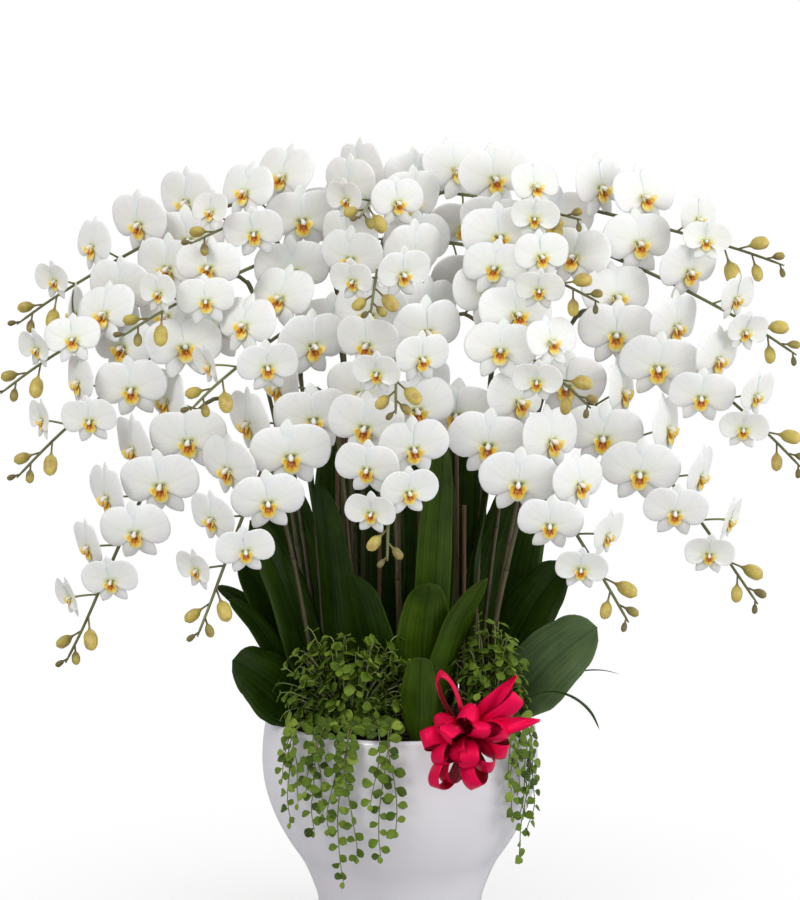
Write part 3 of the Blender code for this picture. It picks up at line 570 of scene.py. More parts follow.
def sepal_finish():
    f = Finish("sepal", (0.80, 0.81, 0.80), 0.50, Subsurface_Weight=0.10, Subsurface_Scale=0.004)
    veins = f.streaks(22, 1.3, 2.0, 0.6, 0.3)
    base = f.ramp(f.tone, (0.0, 0.58, 0.64, 0.30), (0.18, 0.74, 0.77, 0.64), (0.55, 0.83, 0.83, 0.83),
                  (1.0, 0.84, 0.86, 0.80))
    base = f.mix(f.level(veins, 0.48, 0.66, 0.0, 0.45), base, (0.66, 0.64, 0.74))
    return f.end(base, f.drift(240.0, 0.42, 0.60), veins, 0.35, 0.0005)


def lip_finish():
    f = Finish("lip", (0.80, 0.50, 0.05), 0.36, Subsurface_Weight=0.10, Subsurface_Scale=0.003,
               Coat_Weight=0.15)
    base = f.toned(420.0, 0.05, 2.0, (0.0, 0.22, 0.045, 0.006), (0.14, 0.46, 0.120, 0.008),
                   (0.28, 0.78, 0.33, 0.014), (0.46, 0.86, 0.56, 0.04), (0.70, 0.88, 0.72, 0.20),
                   (1.0, 0.88, 0.86, 0.68))
    return f.end(base, f.drift(500.0, 0.28, 0.46), f.noise(f.spot, 700.0), 0.30, 0.0004)


def column_finish():
    f = Finish("column", (0.86, 0.84, 0.80), 0.34, Subsurface_Weight=0.15, Subsurface_Scale=0.003,
               Coat_Weight=0.20)
    base = f.ramp(f.noise(f.spot, 300.0), (0.35, 0.88, 0.87, 0.84), (0.75, 0.80, 0.72, 0.66))
    return f.end(base, None, f.noise(f.spot, 900.0, 2.0), 0.20, 0.0003)


def stem_finish():
    f = Finish("stem", (0.08, 0.09, 0.03), 0.42, Coat_Weight=0.10)
    streak = f.streaks(9, 26, 4.0, 0.6)
    base = f.toned(16.0, 0.16, 3.0, (0.0, 0.055, 0.045, 0.020), (0.35, 0.095, 0.085, 0.028),
                   (0.65, 0.16, 0.19, 0.050), (1.0, 0.40, 0.46, 0.17))
    base = f.mix(f.level(streak, 0.40, 0.68, 0.0, 0.55), base, (0.050, 0.028, 0.014))
    return f.end(base, f.level(streak, 0.3, 0.7, 0.34, 0.56), streak, 0.35, 0.0006)


def bud_finish():
    f = Finish("bud", (0.52, 0.48, 0.15), 0.40, Subsurface_Weight=0.08, Subsurface_Scale=0.003)
    base = f.toned(60.0, 0.12, 3.0, (0.0, 0.070, 0.060, 0.022), (0.28, 0.15, 0.125, 0.030),
                   (0.55, 0.42, 0.34, 0.060), (1.0, 0.64, 0.50, 0.12))
    base = f.mix(f.level(f.noise(f.spot, 90.0, 2.0), 0.48, 0.68, 0.0, 0.42), base, (0.24, 0.095, 0.050))
    ribs = f.waves(f.scaled(6, 0.001), 1.0, 0.6, "X")
    return f.end(base, f.drift(300.0, 0.32, 0.50), ribs, 0.25, 0.0006)


def leaf_finish(name, dark, light, pale, rough, coat):
    f = Finish(name, light, rough, Coat_Weight=coat, Coat_Roughness=0.30, Specular_IOR_Level=0.12)
    off = f.off_middle()
    veins = f.streaks(46, 2.2, 2.0, 0.5, 0.25)
    base = f.mix(f.level(f.noise(f.spot, 22.0, 4.0), 0.32, 0.70), dark, light)
    base = f.mix(f.level(veins, 0.46, 0.64, 0.0, 0.40), base, pale)
    base = f.mix(f.level(off, 0.012, 0.045, 0.55, 0.0), base, dark)
    base = f.mix(f.level(off, 0.44, 0.50, 0.0, 0.40), base, pale)
    base = f.mix(f.level(f.cells(260.0), 0.06, 0.16, 0.22, 0.0), base, pale)
    height = f.math("ADD", f.math("MULTIPLY", veins, 0.6), f.level(off, 0.0, 0.05, 0.0, 1.6))
    return f.end(base, f.drift(70.0, rough - 0.08, rough + 0.14, 4.0), height, 0.40, 0.0008)


def creeper_finish():
    f = Finish("creeper_leaf", (0.10, 0.17, 0.02), 0.46, Specular_IOR_Level=0.14)
    base = f.toned(40.0, 0.12, 2.0, (0.0, 0.014, 0.030, 0.003), (0.35, 0.050, 0.095, 0.007),
                   (0.65, 0.115, 0.190, 0.016), (1.0, 0.24, 0.33, 0.045))
    veins = f.streaks(9, 3, 2.0, 0.5, 0.2)
    base = f.mix(f.level(veins, 0.50, 0.62, 0.0, 0.35), base, (0.20, 0.28, 0.05))
    return f.end(base, f.drift(200.0, 0.36, 0.56), veins, 0.30, 0.0005)


def glaze_finish():
    f = Finish("pot_glaze", (0.84, 0.84, 0.86), 0.10, Coat_Weight=0.6, Coat_Roughness=0.04,
               Specular_IOR_Level=0.55)
    cloud = f.level(f.noise(f.spot, 7.0, 4.0), 0.30, 0.72)
    base = f.mix(cloud, (0.76, 0.745, 0.785), (0.82, 0.805, 0.835))
    base = f.mix(f.level(f.cells(420.0), 0.03, 0.09, 0.10, 0.0), base, (0.66, 0.65, 0.68))
    return f.end(base, f.drift(30.0, 0.07, 0.15, 3.0), f.noise(f.spot, 46.0, 2.0), 0.05, 0.0010)


def moss_finish():
    f = Finish("growing_mix", (0.045, 0.05, 0.018), 0.92)
    clump = f.noise(f.spot, 42.0, 6.0, 0.68)
    base = f.ramp(clump, (0.28, 0.010, 0.008, 0.005), (0.45, 0.040, 0.028, 0.012),
                  (0.58, 0.050, 0.070, 0.014), (0.78, 0.105, 0.135, 0.032))
    base = f.mix(f.level(f.cells(150.0), 0.0, 0.30, 0.5, 0.0), base, (0.14, 0.10, 0.045))
    return f.end(base, None, f.math("ADD", clump, f.noise(f.spot, 320.0, 4.0, 0.7)), 0.9, 0.004)


def bark_finish():
    f = Finish("bark", (0.09, 0.045, 0.020), 0.86)
    grain = f.noise(f.scaled(60, 240, 90, f.spot), 1.0, 5.0, 0.65)
    base = f.ramp(grain, (0.30, 0.020, 0.010, 0.005), (0.50, 0.085, 0.040, 0.018), (0.72, 0.20, 0.115, 0.055))
    return f.end(base, None, grain, 0.8, 0.0015)


def stake_finish():
    f = Finish("stake", (0.14, 0.08, 0.04), 0.62)
    grain = f.streaks(14, 30, 5.0, 0.65, 0.4)
    base = f.ramp(grain, (0.28, 0.040, 0.020, 0.010), (0.50, 0.115, 0.062, 0.028), (0.74, 0.21, 0.135, 0.065))
    return f.end(base, f.level(grain, 0.3, 0.7, 0.50, 0.76), grain, 0.5, 0.0008)


def ribbon_finish():
    f = Finish("ribbon", (0.62, 0.001, 0.040), 0.40, Metallic=0.22, Specular_IOR_Level=0.08, Anisotropic=0.4)
    weave = f.waves(f.scaled(1, 1), 420.0, 0.4, "Y")
    cross = f.waves(f.scaled(1, 1), 46.0, 0.3, "X")
    # Colour by the tone: the dark end is painted shade near the knot and on the bands' back sheets.
    base = f.toned(40.0, 0.12, 3.0, (0.0, 0.13, 0.0002, 0.004), (0.35, 0.34, 0.0004, 0.014),
                   (0.70, 0.66, 0.0010, 0.044), (1.0, 0.86, 0.0030, 0.080))
    base = f.mix(f.level(f.off_middle(), 0.44, 0.47, 0.0, 0.6), base, (0.16, 0.0005, 0.007))
    base = f.mix(f.level(weave, 0.2, 0.8, 0.0, 0.22), base, (0.30, 0.001, 0.012))
    height = f.math("ADD", f.math("MULTIPLY", weave, 0.6), f.math("MULTIPLY", cross, 0.5))
    return f.end(base, f.level(weave, 0.0, 1.0, 0.24, 0.40), height, 0.22, 0.0003)


def wire_finish():
    f = Finish("wire", (0.05, 0.14, 0.04), 0.45)
    wrap = f.waves(f.scaled(1, 600), 1.0, 0.5, "DIAGONAL")
    return f.end(f.mix(wrap, (0.030, 0.085, 0.022), (0.085, 0.20, 0.055)), None, wrap, 0.5, 0.0004)


# ---------------------------------------------------------------- flowers
EDGE = [(-50, 0.15), (-42, 0.23), (-32, 0.33), (-20, 0.405), (-6, 0.450), (10, 0.480), (26, 0.500),
        (40, 0.492), (54, 0.470), (68, 0.425), (78, 0.395), (86, 0.365), (92, 0.325), (98, 0.255)]
PETAL = LIP = 0
SEPAL = COLUMN = 1


def petal_grid(side, dice, cup):
    """One broad rounded petal, in flower widths: across its fan, then from claw to margin."""
    theta = np.linspace(-50, 98, 19)[:, None]
    reach = np.interp(theta, [a for a, _ in EDGE], [r for _, r in EDGE])
    reach = reach * (1 + dice.uniform(-0.02, 0.02)) + 0.006 * np.sin(theta / 9 + dice.uniform(0, 6))
    rho = np.concatenate([[0.06], np.linspace(0.16, 0.94, 9), [1.0]])
    a = np.radians(theta + dice.uniform(-2, 2))
    r = reach * rho
    x = 0.028 - 0.023 * np.clip((theta - 66) / 30, 0, 1) + r * np.cos(a)
    y = 0.004 + r * np.sin(a)
    wave = dice.uniform(0, 6)
    inner = np.clip((theta - 62) / 28, 0, 1)
    n = 0.010 + 0.075 * rho - 0.105 * rho**2
    n = n + 0.012 * rho ** 3 * np.sin(np.radians(theta) * 4.2 + wave)
    n = n + 0.010 * rho ** 2 * np.sin(np.radians(theta) * 2 + wave * 1.7)
    n = n + (0.009 + 0.0042 * side) * inner * rho + cup * rho ** 2
    n = n - 0.018 * np.exp(-((theta - 16) / 7) ** 2) * rho * (1 - rho)
    return np.stack([side * x, y, n], axis=-1)


def sepal_grid(start, tip, half, dice, tip_back, cup):
    """One oval sepal from near the column out to its rounded tip."""
    v = np.linspace(0, 1, 12)
    u = np.linspace(-1, 1, 8)[:, None]
    start = np.array(start, float)
    ahead = np.array(tip, float) - start
    across = np.array([ahead[1], -ahead[0]]) / np.linalg.norm(ahead)
    width = half * np.clip(np.sin(math.pi * (0.13 + 0.87 * v)), 0, 1) ** 0.62
    width[-1] = half * 0.10
    bend = dice.uniform(-0.03, 0.03)
    middle = start + ahead * v[:, None] + across * (bend * np.sin(math.pi * v))[:, None]
    flat = middle + across * (u * width)[..., None]
    n = -0.014 + 0.030 * np.sin(math.pi * v) + tip_back * v**2 + cup * v**2
    n = n - 0.22 * u ** 2 * width + 0.004 * np.sin(6 * v + bend * 90)
    return np.stack([flat[..., 0], flat[..., 1], n], axis=-1)


def lip_parts():
    """Lip and column in flower widths: list of (body, slot, tone)."""
    parts = []
    s = np.linspace(0, 1, 13)
    u = np.linspace(-1, 1, 9)[:, None]
    half = 0.024 + 0.074 * np.clip(np.sin(math.pi * (0.10 + 0.84 * s)), 0, 1) ** 0.85
    half[-1] = 0.008
    y = -0.045 - 0.160 * s
    n = 0.040 + 0.125 * s - 0.110 * s**2
    x = u * half
    mid = np.stack([x, np.broadcast_to(y, x.shape), n - 0.55 * np.abs(x) ** 1.2], axis=-1)
    parts.append((thick_sheet(mid, 0.012), LIP, lambda across, along: np.clip(
        0.06 + 0.62 * np.clip(np.abs(across * 2 - 1) * 0.9 + along * 1.5 - 0.45, 0, 1)
        + 0.40 * np.clip(along * 2.4 - 1.5, 0, 1), 0, 1)))
    for side in (1, -1):
        a = np.linspace(0, 1, 8)
        b = np.linspace(0, 1, 7)
        root = np.stack([side * (0.016 + 0.026 * a), -0.030 - 0.075 * a, 0.016 + 0.062 * a], axis=-1)
        tall = 0.116 * np.clip(np.sin(math.pi * (0.16 + 0.72 * a)), 0, 1) ** 0.7
        out = np.stack([side * (1.06 - 0.28 * b), 0.24 + 0.40 * b, 0.40 + 0.20 * b], axis=-1)
        wing = root[:, None] + out * (tall[:, None] * b)[..., None]
        parts.append((thick_sheet(wing if side > 0 else wing[::-1], 0.011), LIP,
                      lambda across, along: np.clip(0.22 + 0.55 * along + 0.15 * np.sin(along * 24), 0, 1)))
    for k, (reach, level, size) in enumerate(((-0.052, 0.062, 0.017), (-0.072, 0.078, 0.013))):
        line = np.array([[0, reach + 0.012, level - 0.012], [0, reach, level],
                         [0, reach - 0.008, level + 0.008], [0, reach - 0.016, level + 0.010]])
        parts.append((tube(line, [size * 0.8, size, size * 0.8, size * 0.3], 8), LIP, 0.10 + 0.10 * k))
    line = np.array([[0, 0.020, -0.010], [0, 0.020, 0.020], [0, 0.016, 0.048], [0, 0.004, 0.074],
                     [0, -0.012, 0.090], [0, -0.024, 0.096], [0, -0.031, 0.096]])
    parts.append((tube(line, [0.024, 0.023, 0.025, 0.031, 0.031, 0.022, 0.008], 10), COLUMN, 0.5))
    return parts


def add_bloom(petals, lips, bloom, lip_shapes, dice):
    i, _, centre, facing, width, roll = bloom
    right, up = axes_of(facing, roll)

    def lay(shape, body, slot, tone):
        local, *rest = body
        placed = centre + width * (local[:, :1] * right + local[:, 1:2] * up + local[:, 2:] * facing)
        shape.add((placed, *rest), slot, tone)

    young = {0: 1.0, 1: 0.45}.get(i, 0.0)
    cup = 0.10 * young + dice.uniform(-0.012, 0.020)
    for start, tip, half, back in (((0, 0.005), (0, 0.475), 0.132, -0.020),
                                   ((0.012, -0.015), (0.222, -0.345), 0.122, -0.045),
                                   ((-0.012, -0.015), (-0.222, -0.345), 0.122, -0.045)):
        lay(petals, thick_sheet(sepal_grid(start, tip, half, dice, back, cup * 0.7), 0.010), SEPAL,
            lambda across, along: np.clip(along - 0.25 * young, 0, 1))
    for side in (1, -1):
        grid = petal_grid(side, dice, cup)
        lay(petals, thick_sheet(grid if side > 0 else grid[::-1], 0.010, 8.0), PETAL,
            lambda across, along: np.clip(along * (1 - 0.45 * young), 0, 1))
    for body, slot, tone in lip_shapes:
        lay(lips, body, slot, tone)


def add_stem(stem, line, fine, blooms):
    """Stem, its joints with their scales, and a curved stalk behind each flower."""
    end, total = lengths(line)[-1], lengths(fine)[-1]
    share = np.linspace(0, 1, len(fine))
    joints = np.arange(0.10, 0.62, 0.085)
    radii = np.interp(share, [0, 0.7, 1], [STEM_RADIUS, STEM_RADIUS * 0.8, STEM_END_RADIUS])
    for joint in joints:
        radii = radii * (1 + 0.22 * np.exp(-((share - joint) / 0.008) ** 2))
    radii[-1] *= 0.6
    stem.add(tube(fine, radii, 10), 0, np.concatenate([np.repeat(share, 10), [0.0, 1.0]]) * 0.45 + 0.12)
    for k, joint in enumerate(joints):
        foot = point_at(fine, total * joint)
        ahead = direction_at(fine, total * joint)
        side = unit(np.cross(ahead, [math.sin(k * 2.4), math.cos(k * 2.4), 0.1]))
        over = np.cross(ahead, side)
        u = np.linspace(-1, 1, 7)[:, None]
        v = np.linspace(0, 1, 6)
        hug = STEM_RADIUS * (1.10 - 0.1 * v) + 0.0012 * v ** 2
        angle = u * (1.35 * (1 - v ** 2 * 0.85))
        grid = (foot + ahead * 0.013 * v[:, None] + side * (np.cos(angle) * hug)[..., None]
                + over * (np.sin(angle) * hug)[..., None])
        stem.add(thick_sheet(grid, 0.0006), 0, 0.05)
    for _, at, centre, facing, width, _ in blooms:
        foot = point_at(fine, total * at / end)
        back = centre - facing * width * 0.03
        ahead = direction_at(fine, total * at / end)
        run = np.linalg.norm(back - foot)
        curve = hermite(foot, (facing * 0.3 + UP * 0.35 + ahead * 0.25) * run, back, facing * run * 0.8, 9)
        radii = np.interp(np.linspace(0, 1, 9), [0, 0.2, 0.8, 1], [0.0018, 0.0013, 0.0014, 0.0022])
        stem.add(tube(curve, radii, 7), 0, lambda across, along: np.interp(along, [0, run], [0.45, 0.95]))


def add_buds(buds, line, fine, found):
    """Ribbed buds on short necks; the tone tells how ripe each one is."""
    end = lengths(line)[-1]
    for k, (at, belly, tip, size) in enumerate(found):
        start = point_at(fine, lengths(fine)[-1] * at / end)
        path = smooth_line(np.array([start, start + (belly - start) * 0.5, belly, tip]), 15)
        share = np.linspace(0, 1, 15)
        fat = size * 0.280
        thick = [0.0012, 0.0012, 0.0026] + [fat * part for part in (0.84, 1, 1.02, 0.90, 0.58, 0.08)]
        radii = np.interp(share, [0, 0.34, 0.42, 0.52, 0.64, 0.76, 0.88, 0.96, 1.0], thick)
        points, faces, places = tube(path, radii, 12)
        ridge = np.cos(3 * 2 * math.pi * places[:, 0])
        middle = np.vstack([np.repeat(path, 12, axis=0), path[:1], path[-1:]])
        points = middle + (points - middle) * (1 + 0.07 * ridge)[:, None]
        tone = np.interp(places[:, 1], [0, lengths(path)[-1]], [0.05, 1.0])
        buds.add((points, faces, places), 0, tone * BUD_TONES[min(k, 4)])


def flower_pieces():
    """Petals, lips, stem and buds of every spray; together they stand for the spray's CAD node."""
    petal, sepal = petal_finish(), sepal_finish()
    lip, column = lip_finish(), column_finish()
    stalk, bud = stem_finish(), bud_finish()
    lip_shapes = lip_parts()
    for number, (name, spray) in enumerate(SPRAYS.items()):
        dice = np.random.default_rng(100 + number)
        node = "spray_" + name
        line = spray_line(spray)
        blooms = blooms_of(node, spray, line)
        petals, lips, stem, buds = Shape(), Shape(), Shape(), Shape()
        for bloom in blooms:
            add_bloom(petals, lips, bloom, lip_shapes, dice)
        fine = smooth_line(line, STEM_FINE_POINTS)
        add_stem(stem, line, fine, blooms)
        add_buds(buds, line, fine, buds_of(line, spray[3], spray[6]))
        show(petals, "petals_" + name, [petal, sepal], node)
        show(lips, "lips_" + name, [lip, column], node)
        show(stem, "stem_" + name, [stalk], node)
        show(buds, "buds_" + name, [bud], node)


# ---------------------------------------------------------------- leaves
def leaf_line(entry):
    x, y, turn, length, _, climb, fall = entry[:7]
    line = [in_pot(x, y)]
    for k in range(8):
        share = (k + 0.5) / 8
        line.append(line[-1] + heading(turn, climb + (fall - climb) * share ** 1.25) * length / 8)
    return np.array(line)


def leaf_grid(entry, dice):
    """Folded strap leaf that rises, droops and rolls over to one side."""
    width, fold, roll = entry[4], math.radians(entry[7]), math.radians(entry[8])
    rows, cols = 15, 34
    line = smooth_line(leaf_line(entry), cols)
    level = unit(np.cross(UP, heading(entry[2])))
    front = 1 if level[1] < 0 else -1
    u = np.linspace(-1, 1, rows)
    off = np.abs(u)
    grid = np.zeros((rows, cols, 3))
    wave = dice.uniform(0, 6, 3)
    for k in range(cols):
        t = k / (cols - 1)
        ahead = unit(line[min(k + 1, cols - 1)] - line[max(k - 1, 0)])
        lean = roll * min(1.0, t * 8 / 3) * front
        over = np.cross(ahead, level)
        across = level * math.cos(lean) - over * math.sin(lean)
        over = unit(over * math.cos(lean) + level * math.sin(lean))
        if t < 0.78:
            size = float(np.interp(t * 8, range(9), LEAF_WIDTHS))
        else:
            size = 0.80 * max(1 - ((t - 0.78) / 0.22) ** 1.9, 0.0004) ** 0.60
        half = width * 0.5 * size
        lift = half * math.sin(fold) * off ** 1.25 - half * 0.10 * off ** 6
        lift = lift + 0.016 * width * np.sin(wave[0] + t * 13) * off ** 2 * np.sign(u)
        lift = lift + 0.010 * width * np.sin(wave[1] + t * 23) * off ** 3
        grid[:, k] = line[k] + (u * half * math.cos(fold))[:, None] * across + lift[:, None] * over
    return grid


def standing(body):
    """The body, raised where needed to stand on the growing mix."""
    points, *rest = body
    return points + UP * max(0.0, STAND - float(points[:, 2].min())), *rest


def strap_leaf(name, entry, finish, dice):
    body = thick_sheet(leaf_grid(entry, dice), 0.0024 * min(1.0, entry[4] / 0.03), 5.0)
    show(Shape(standing(body)), "show_" + name, [finish], name)


# ---------------------------------------------------------------- creepers
LEAF = 0
TWIG = 1


def leaf_kit():
    """Four small egg-shaped leaves, folded along the middle, in units of their half width."""
    kit = []
    v = np.array([0.0, 0.10, 0.32, 0.58, 0.84, 1.0])
    u = np.linspace(-1, 1, 5)[:, None]
    wide = np.array([0.05, 0.14, 0.66, 0.90, 0.66, 0.08])
    for fold, curl, skew in ((0.34, 0.30, 0.05), (0.16, 0.55, -0.08), (0.46, 0.10, 0.10),
                             (0.24, -0.20, -0.04)):
        x = u * wide + skew * np.sin(math.pi * v)
        z = fold * np.abs(x) - curl * (v - 0.3) ** 2 + 0.05 * np.sin(u * 3 + v * 5)
        kit.append(thick_sheet(np.stack([x, np.broadcast_to(2.25 * v, x.shape), z], axis=-1), 0.09, 6.0))
    return kit


def small_leaf(shape, kit, spot, facing, ahead, size, tone):
    """One creeper leaf on its stem at this spot, pointing ahead."""
    facing = unit(facing)
    ahead = unit(ahead - facing * np.dot(ahead, facing))
    points, *rest = kit
    axes = np.array([np.cross(ahead, facing), ahead, facing])
    shape.add((spot + size * points @ axes, *rest), LEAF, tone)


def mound_point(place, half, height, share, a, scale=1.0):
    reach = np.array(half) * soil_radius()
    size = float(np.interp(share, MOUND_LEVELS, MOUND_WIDTHS))
    lump = size * (1 + 0.09 * math.cos(3 * a + share * 9) + 0.06 * math.cos(5 * a - share * 14)) * scale
    return in_pot(*place) + [reach[0] * lump * math.cos(a), reach[1] * lump * math.sin(a), height * share]


def strand_line(place, turn, drop):
    """Line of a strand: out of the mound, over the rim and down beside the pot."""
    rim = rim_radius()
    low = POT_HEIGHT - drop
    path = [(rim - 0.024, POT_HEIGHT + 0.018), (rim + 0.001, POT_HEIGHT + 0.014),
            (rim + 0.014, POT_HEIGHT - 0.008)]
    level = POT_HEIGHT - 0.040
    while level > low + 0.02:
        path.append((max(pot_radius_at(level), pot_radius_at(level + 0.02)) + 0.010, level))
        level -= 0.030
    path.append((path[-1][0] - 0.001, low))
    return np.array([in_pot(*place) + UP * 0.045] + [heading(turn) * radius + UP * z for radius, z in path])


def sprig(shape, kit, k, foot, tip, away, share, dice):
    """Thin twig from foot to tip, with leaves on both sides and one at its end."""
    bend = dice.normal(0, 0.012, 3)
    path = hermite(foot, UP * 0.045 + away * 0.02, tip + bend * 0.5,
                   away * 0.03 - UP * dice.uniform(0.0, 0.05) + bend, 14)
    shape.add(tube(path, np.linspace(0.0010, 0.0006, 14), 5), TWIG, 0.85)
    run = lengths(path)[-1]
    depth = dice.normal(0, 0.10)
    for n, at in enumerate(np.arange(run * 0.34, run, 0.0092)):
        ahead = direction_at(path, at)
        side = unit(np.cross(ahead, UP + away * 0.4)) * (1 if n % 2 else -1)
        facing = away * 0.9 + UP * 0.45 + dice.normal(0, 0.36, 3)
        # Painted shade: leaves are darker near the twig's foot and low on the mound and lighter towards the
        # tips, with a random share per sprig (depth) and per leaf.
        tone = np.clip(0.05 + 0.45 * at / run + 0.18 * share + depth + dice.normal(0, 0.08), 0, 1)
        small_leaf(shape, kit[(k + n) % 4], point_at(path, at), facing,
                   side + ahead * 0.5 + dice.normal(0, 0.25, 3), dice.uniform(0.0060, 0.0090), tone)
    # The end leaf is lighter, on the same painted-shade scale.
    small_leaf(shape, kit[k % 4], path[-1], away + UP * 0.5 + dice.normal(0, 0.2, 3), path[-1] - path[-2],
               dice.uniform(0.0042, 0.0058), np.clip(0.72 + depth, 0, 1))


def strand(shape, kit, line, turn, width, dice):
    """Three leafy twigs that hang side by side along one line."""
    out, along = heading(turn), heading(turn + 90)
    share = np.linspace(0, 1, 60)
    for twist, (stop, shift) in enumerate(((60, 0.0), (52, 1.0), (44, -1.0))):
        sway = np.sin(share * (6.0 + 1.5 * twist) + twist * 2.1 + dice.uniform(-0.5, 0.5)) * 0.6
        sway = (sway + shift) * np.clip(share * 3, 0, 1) * (1 - 0.35 * share)
        path = line + along * (sway * width * 0.36)[:, None]
        path = path + out * (0.0015 + 0.003 * np.sin(share * 9 + twist)[:, None] ** 2)
        shape.add(tube(path[:stop], np.linspace(0.0010, 0.0006, stop), 5), TWIG, 0.60)
        run = lengths(path)
        for k, at in enumerate(np.arange(0.08 * run[-1], run[stop - 1], 0.0105)):
            near = at / run[-1]
            ahead = along * (1 if (k + twist) % 2 else -1) + dice.normal(0, 0.30, 3)
            ahead = ahead - UP * (0.15 + 0.45 * near)
            facing = out + dice.normal(0, 0.26, 3) + UP * 0.30
            tone = np.clip(dice.normal(0.60, 0.20) - 0.08 * near, 0, 1)
            small_leaf(shape, kit[(k + twist) % 4], point_at(path, at) + out * 0.0012, facing, ahead,
                       dice.uniform(0.0052, 0.0080) * (1.10 - 0.22 * near), tone)
        small_leaf(shape, kit[twist], path[stop - 1] + out * 0.001, out + UP * 0.3, -UP, 0.0042, 0.8)


def creeper(name, leaf, twig, kit, dice):
    """Mound of leafy sprigs round a dark inner hull of painted shade, and the strands that hang over the rim.
    """
    place, half, height, strands = CREEPERS[name]
    # Inner hull in the darkest creeper green (tone 0.0): a dark body put where the inside of the mound is in
    # shade, painted shade.
    count, sides = 12, 28
    rings = [[mound_point(place, half, height, share, 2 * math.pi * j / sides, 0.36)
              + dice.uniform(-0.006, 0.006, 3) * [1, 1, 0.3 * (share > 0)] for j in range(sides)]
             for share in np.linspace(0.0, 0.62, count)]
    points = np.vstack(rings + [[np.mean(rings[0], axis=0)], [np.mean(rings[-1], axis=0) + UP * 0.004]])
    faces = ring_faces(count, sides) + fan(count * sides, 0, sides, True)
    shape = Shape((points, faces + fan(count * sides + 1, (count - 1) * sides, sides)), LEAF, 0.0)
    count = int(round(half[0] * soil_radius() * height * SPRIGS_PER_AREA))
    for k in range(count):
        share = 0.05 + 0.93 * (k + 0.5) / count
        a = (k * GOLDEN_ANGLE + dice.uniform(-0.25, 0.25)) % (2 * math.pi)
        foot = mound_point(place, half, height, share * 0.6, a, 0.30)
        tip = mound_point(place, half, height, share, a, dice.uniform(0.88, 1.14))
        tip = tip + UP * dice.uniform(-0.004, 0.020)
        sprig(shape, kit, k, foot, tip, unit((tip - foot) * [1, 1, 0.2]), share, dice)
    for turn, drop, width in strands:
        strand(shape, kit, smooth_line(strand_line(place, turn, drop), 60), turn, width, dice)
    show(shape, "show_" + name, [leaf, twig], name)


# ---------------------------------------------------------------- pot, growing mix, stakes
def pot_piece(finish):
    outside = np.array([(r * POT_RADIUS, 0.0, z * POT_HEIGHT) for r, z in POT_PROFILE])
    profile = [(0.0, 0.0015), (0.108, 0.0015), (0.112, 0.0), (0.1155, 0.0), (0.1168, 0.0012), (0.1171, 0.006),
               (0.1168, 0.010), (0.1150, 0.0140)]
    profile += [(p[0], p[2]) for p in smooth_line(outside[2:], 60)]
    profile += [(rim_radius() - POT_WALL * r, POT_HEIGHT * z)
                for r, z in ((0.10, 0.984), (0.28, 0.9935), (0.58, 0.9990), (0.85, 1.0), (1.15, 0.9975),
                             (1.42, 0.990))]
    profile += pot_inside()[::-1] + [(0.0, POT_FLOOR)]
    show(Shape(lathe(profile, 144)), "show_pot", [finish], "pot")


def soil_piece(moss, bark, dice):
    """Mossy top of the growing mix, with chips of bark lying in it."""
    edge = soil_radius() - 0.0004
    rings, sides = 30, 120
    waves = [(dice.uniform(20, 210), dice.uniform(20, 210), dice.uniform(0, 6), dice.uniform(0.0003, 0.0011))
             for _ in range(26)]

    def height(x, y):
        return sum(size * math.sin(a * x + b * y + turn) * math.cos(b * x - a * y + turn * 2)
                   for a, b, turn, size in waves)

    points = [(0.0, 0.0, SOIL_TOP - 0.0010 + height(0, 0))]
    for k in range(1, rings + 1):
        calm, sink = (0.3, 0.004) if k == rings else (1.0, 0.0)
        for c, s in circle(sides):
            x, y = edge * k / rings * c, edge * k / rings * s
            level = SOIL_TOP - 0.0022 + 1.4 * height(x, y) * calm - sink
            points.append((x, y, min(level, SOIL_TOP + 0.0035)))
    for drop, slack in ((0.010, 0.0012), (0.030, 0.004)):
        points += [((edge - slack) * c, (edge - slack) * s, SOIL_TOP - drop) for c, s in circle(sides)]
    points.append((0.0, 0.0, SOIL_TOP - 0.030))
    last = 1 + (rings + 1) * sides
    faces = fan(0, 1, sides) + ring_faces(rings + 2, sides, 1, True) + fan(last + sides, last, sides, True)
    show(Shape((points, faces)), "show_soil", [moss], "soil")
    chips = Shape()
    for k in range(BARK_CHIPS):
        radius = 0.155 * math.sqrt((k + 0.5) / BARK_CHIPS)
        a = k * GOLDEN_ANGLE
        spot = np.array([radius * math.cos(a), radius * math.sin(a), SOIL_TOP + 0.0004])
        size, turn = dice.uniform(0.004, 0.0095), dice.uniform(0, 6.28)
        ring = []
        for j in range(7):
            b = turn + 2 * math.pi * j / 7
            reach = size * dice.uniform(0.72, 1.12)
            ring.append((reach * math.cos(b) * 1.35, reach * math.sin(b) * 0.75))
        tilt = dice.uniform(-0.25, 0.25, 2)
        low = [[x, y, -0.0016 + x * tilt[0] + y * tilt[1]] for x, y in ring]
        high = [[x * 0.84, y * 0.84, z + 0.0032 + dice.uniform(-0.0004, 0.0004)] for x, y, z in low]
        points = np.array(low + high + [[0, 0, -0.0018], [0, 0, 0.0019]]) + spot
        chips.add((points, ring_faces(2, 7) + fan(14, 0, 7, True) + fan(15, 7, 7)))
    show(chips, "bark_chips", [bark], None, smooth=False)


def stake_piece(name, finish, dice):
    low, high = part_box(name)
    level = np.linspace(low.z, high.z, 46)
    sway = 0.0006 * np.sin(np.linspace(0, 5, 46) + dice.uniform(0, 6))
    line = np.stack([(low.x + high.x) / 2 + sway, np.full(46, (low.y + high.y) / 2), level], axis=1)
    radii = np.full(46, STAKE_RADIUS * 0.94)
    for joint in np.arange(low.z + 0.05, high.z, 0.082):
        radii = radii * (1 + 0.20 * np.exp(-((level - joint) / 0.0035) ** 2))
    show(Shape(tube(line, radii, 12)), "show_" + name, [finish], name)


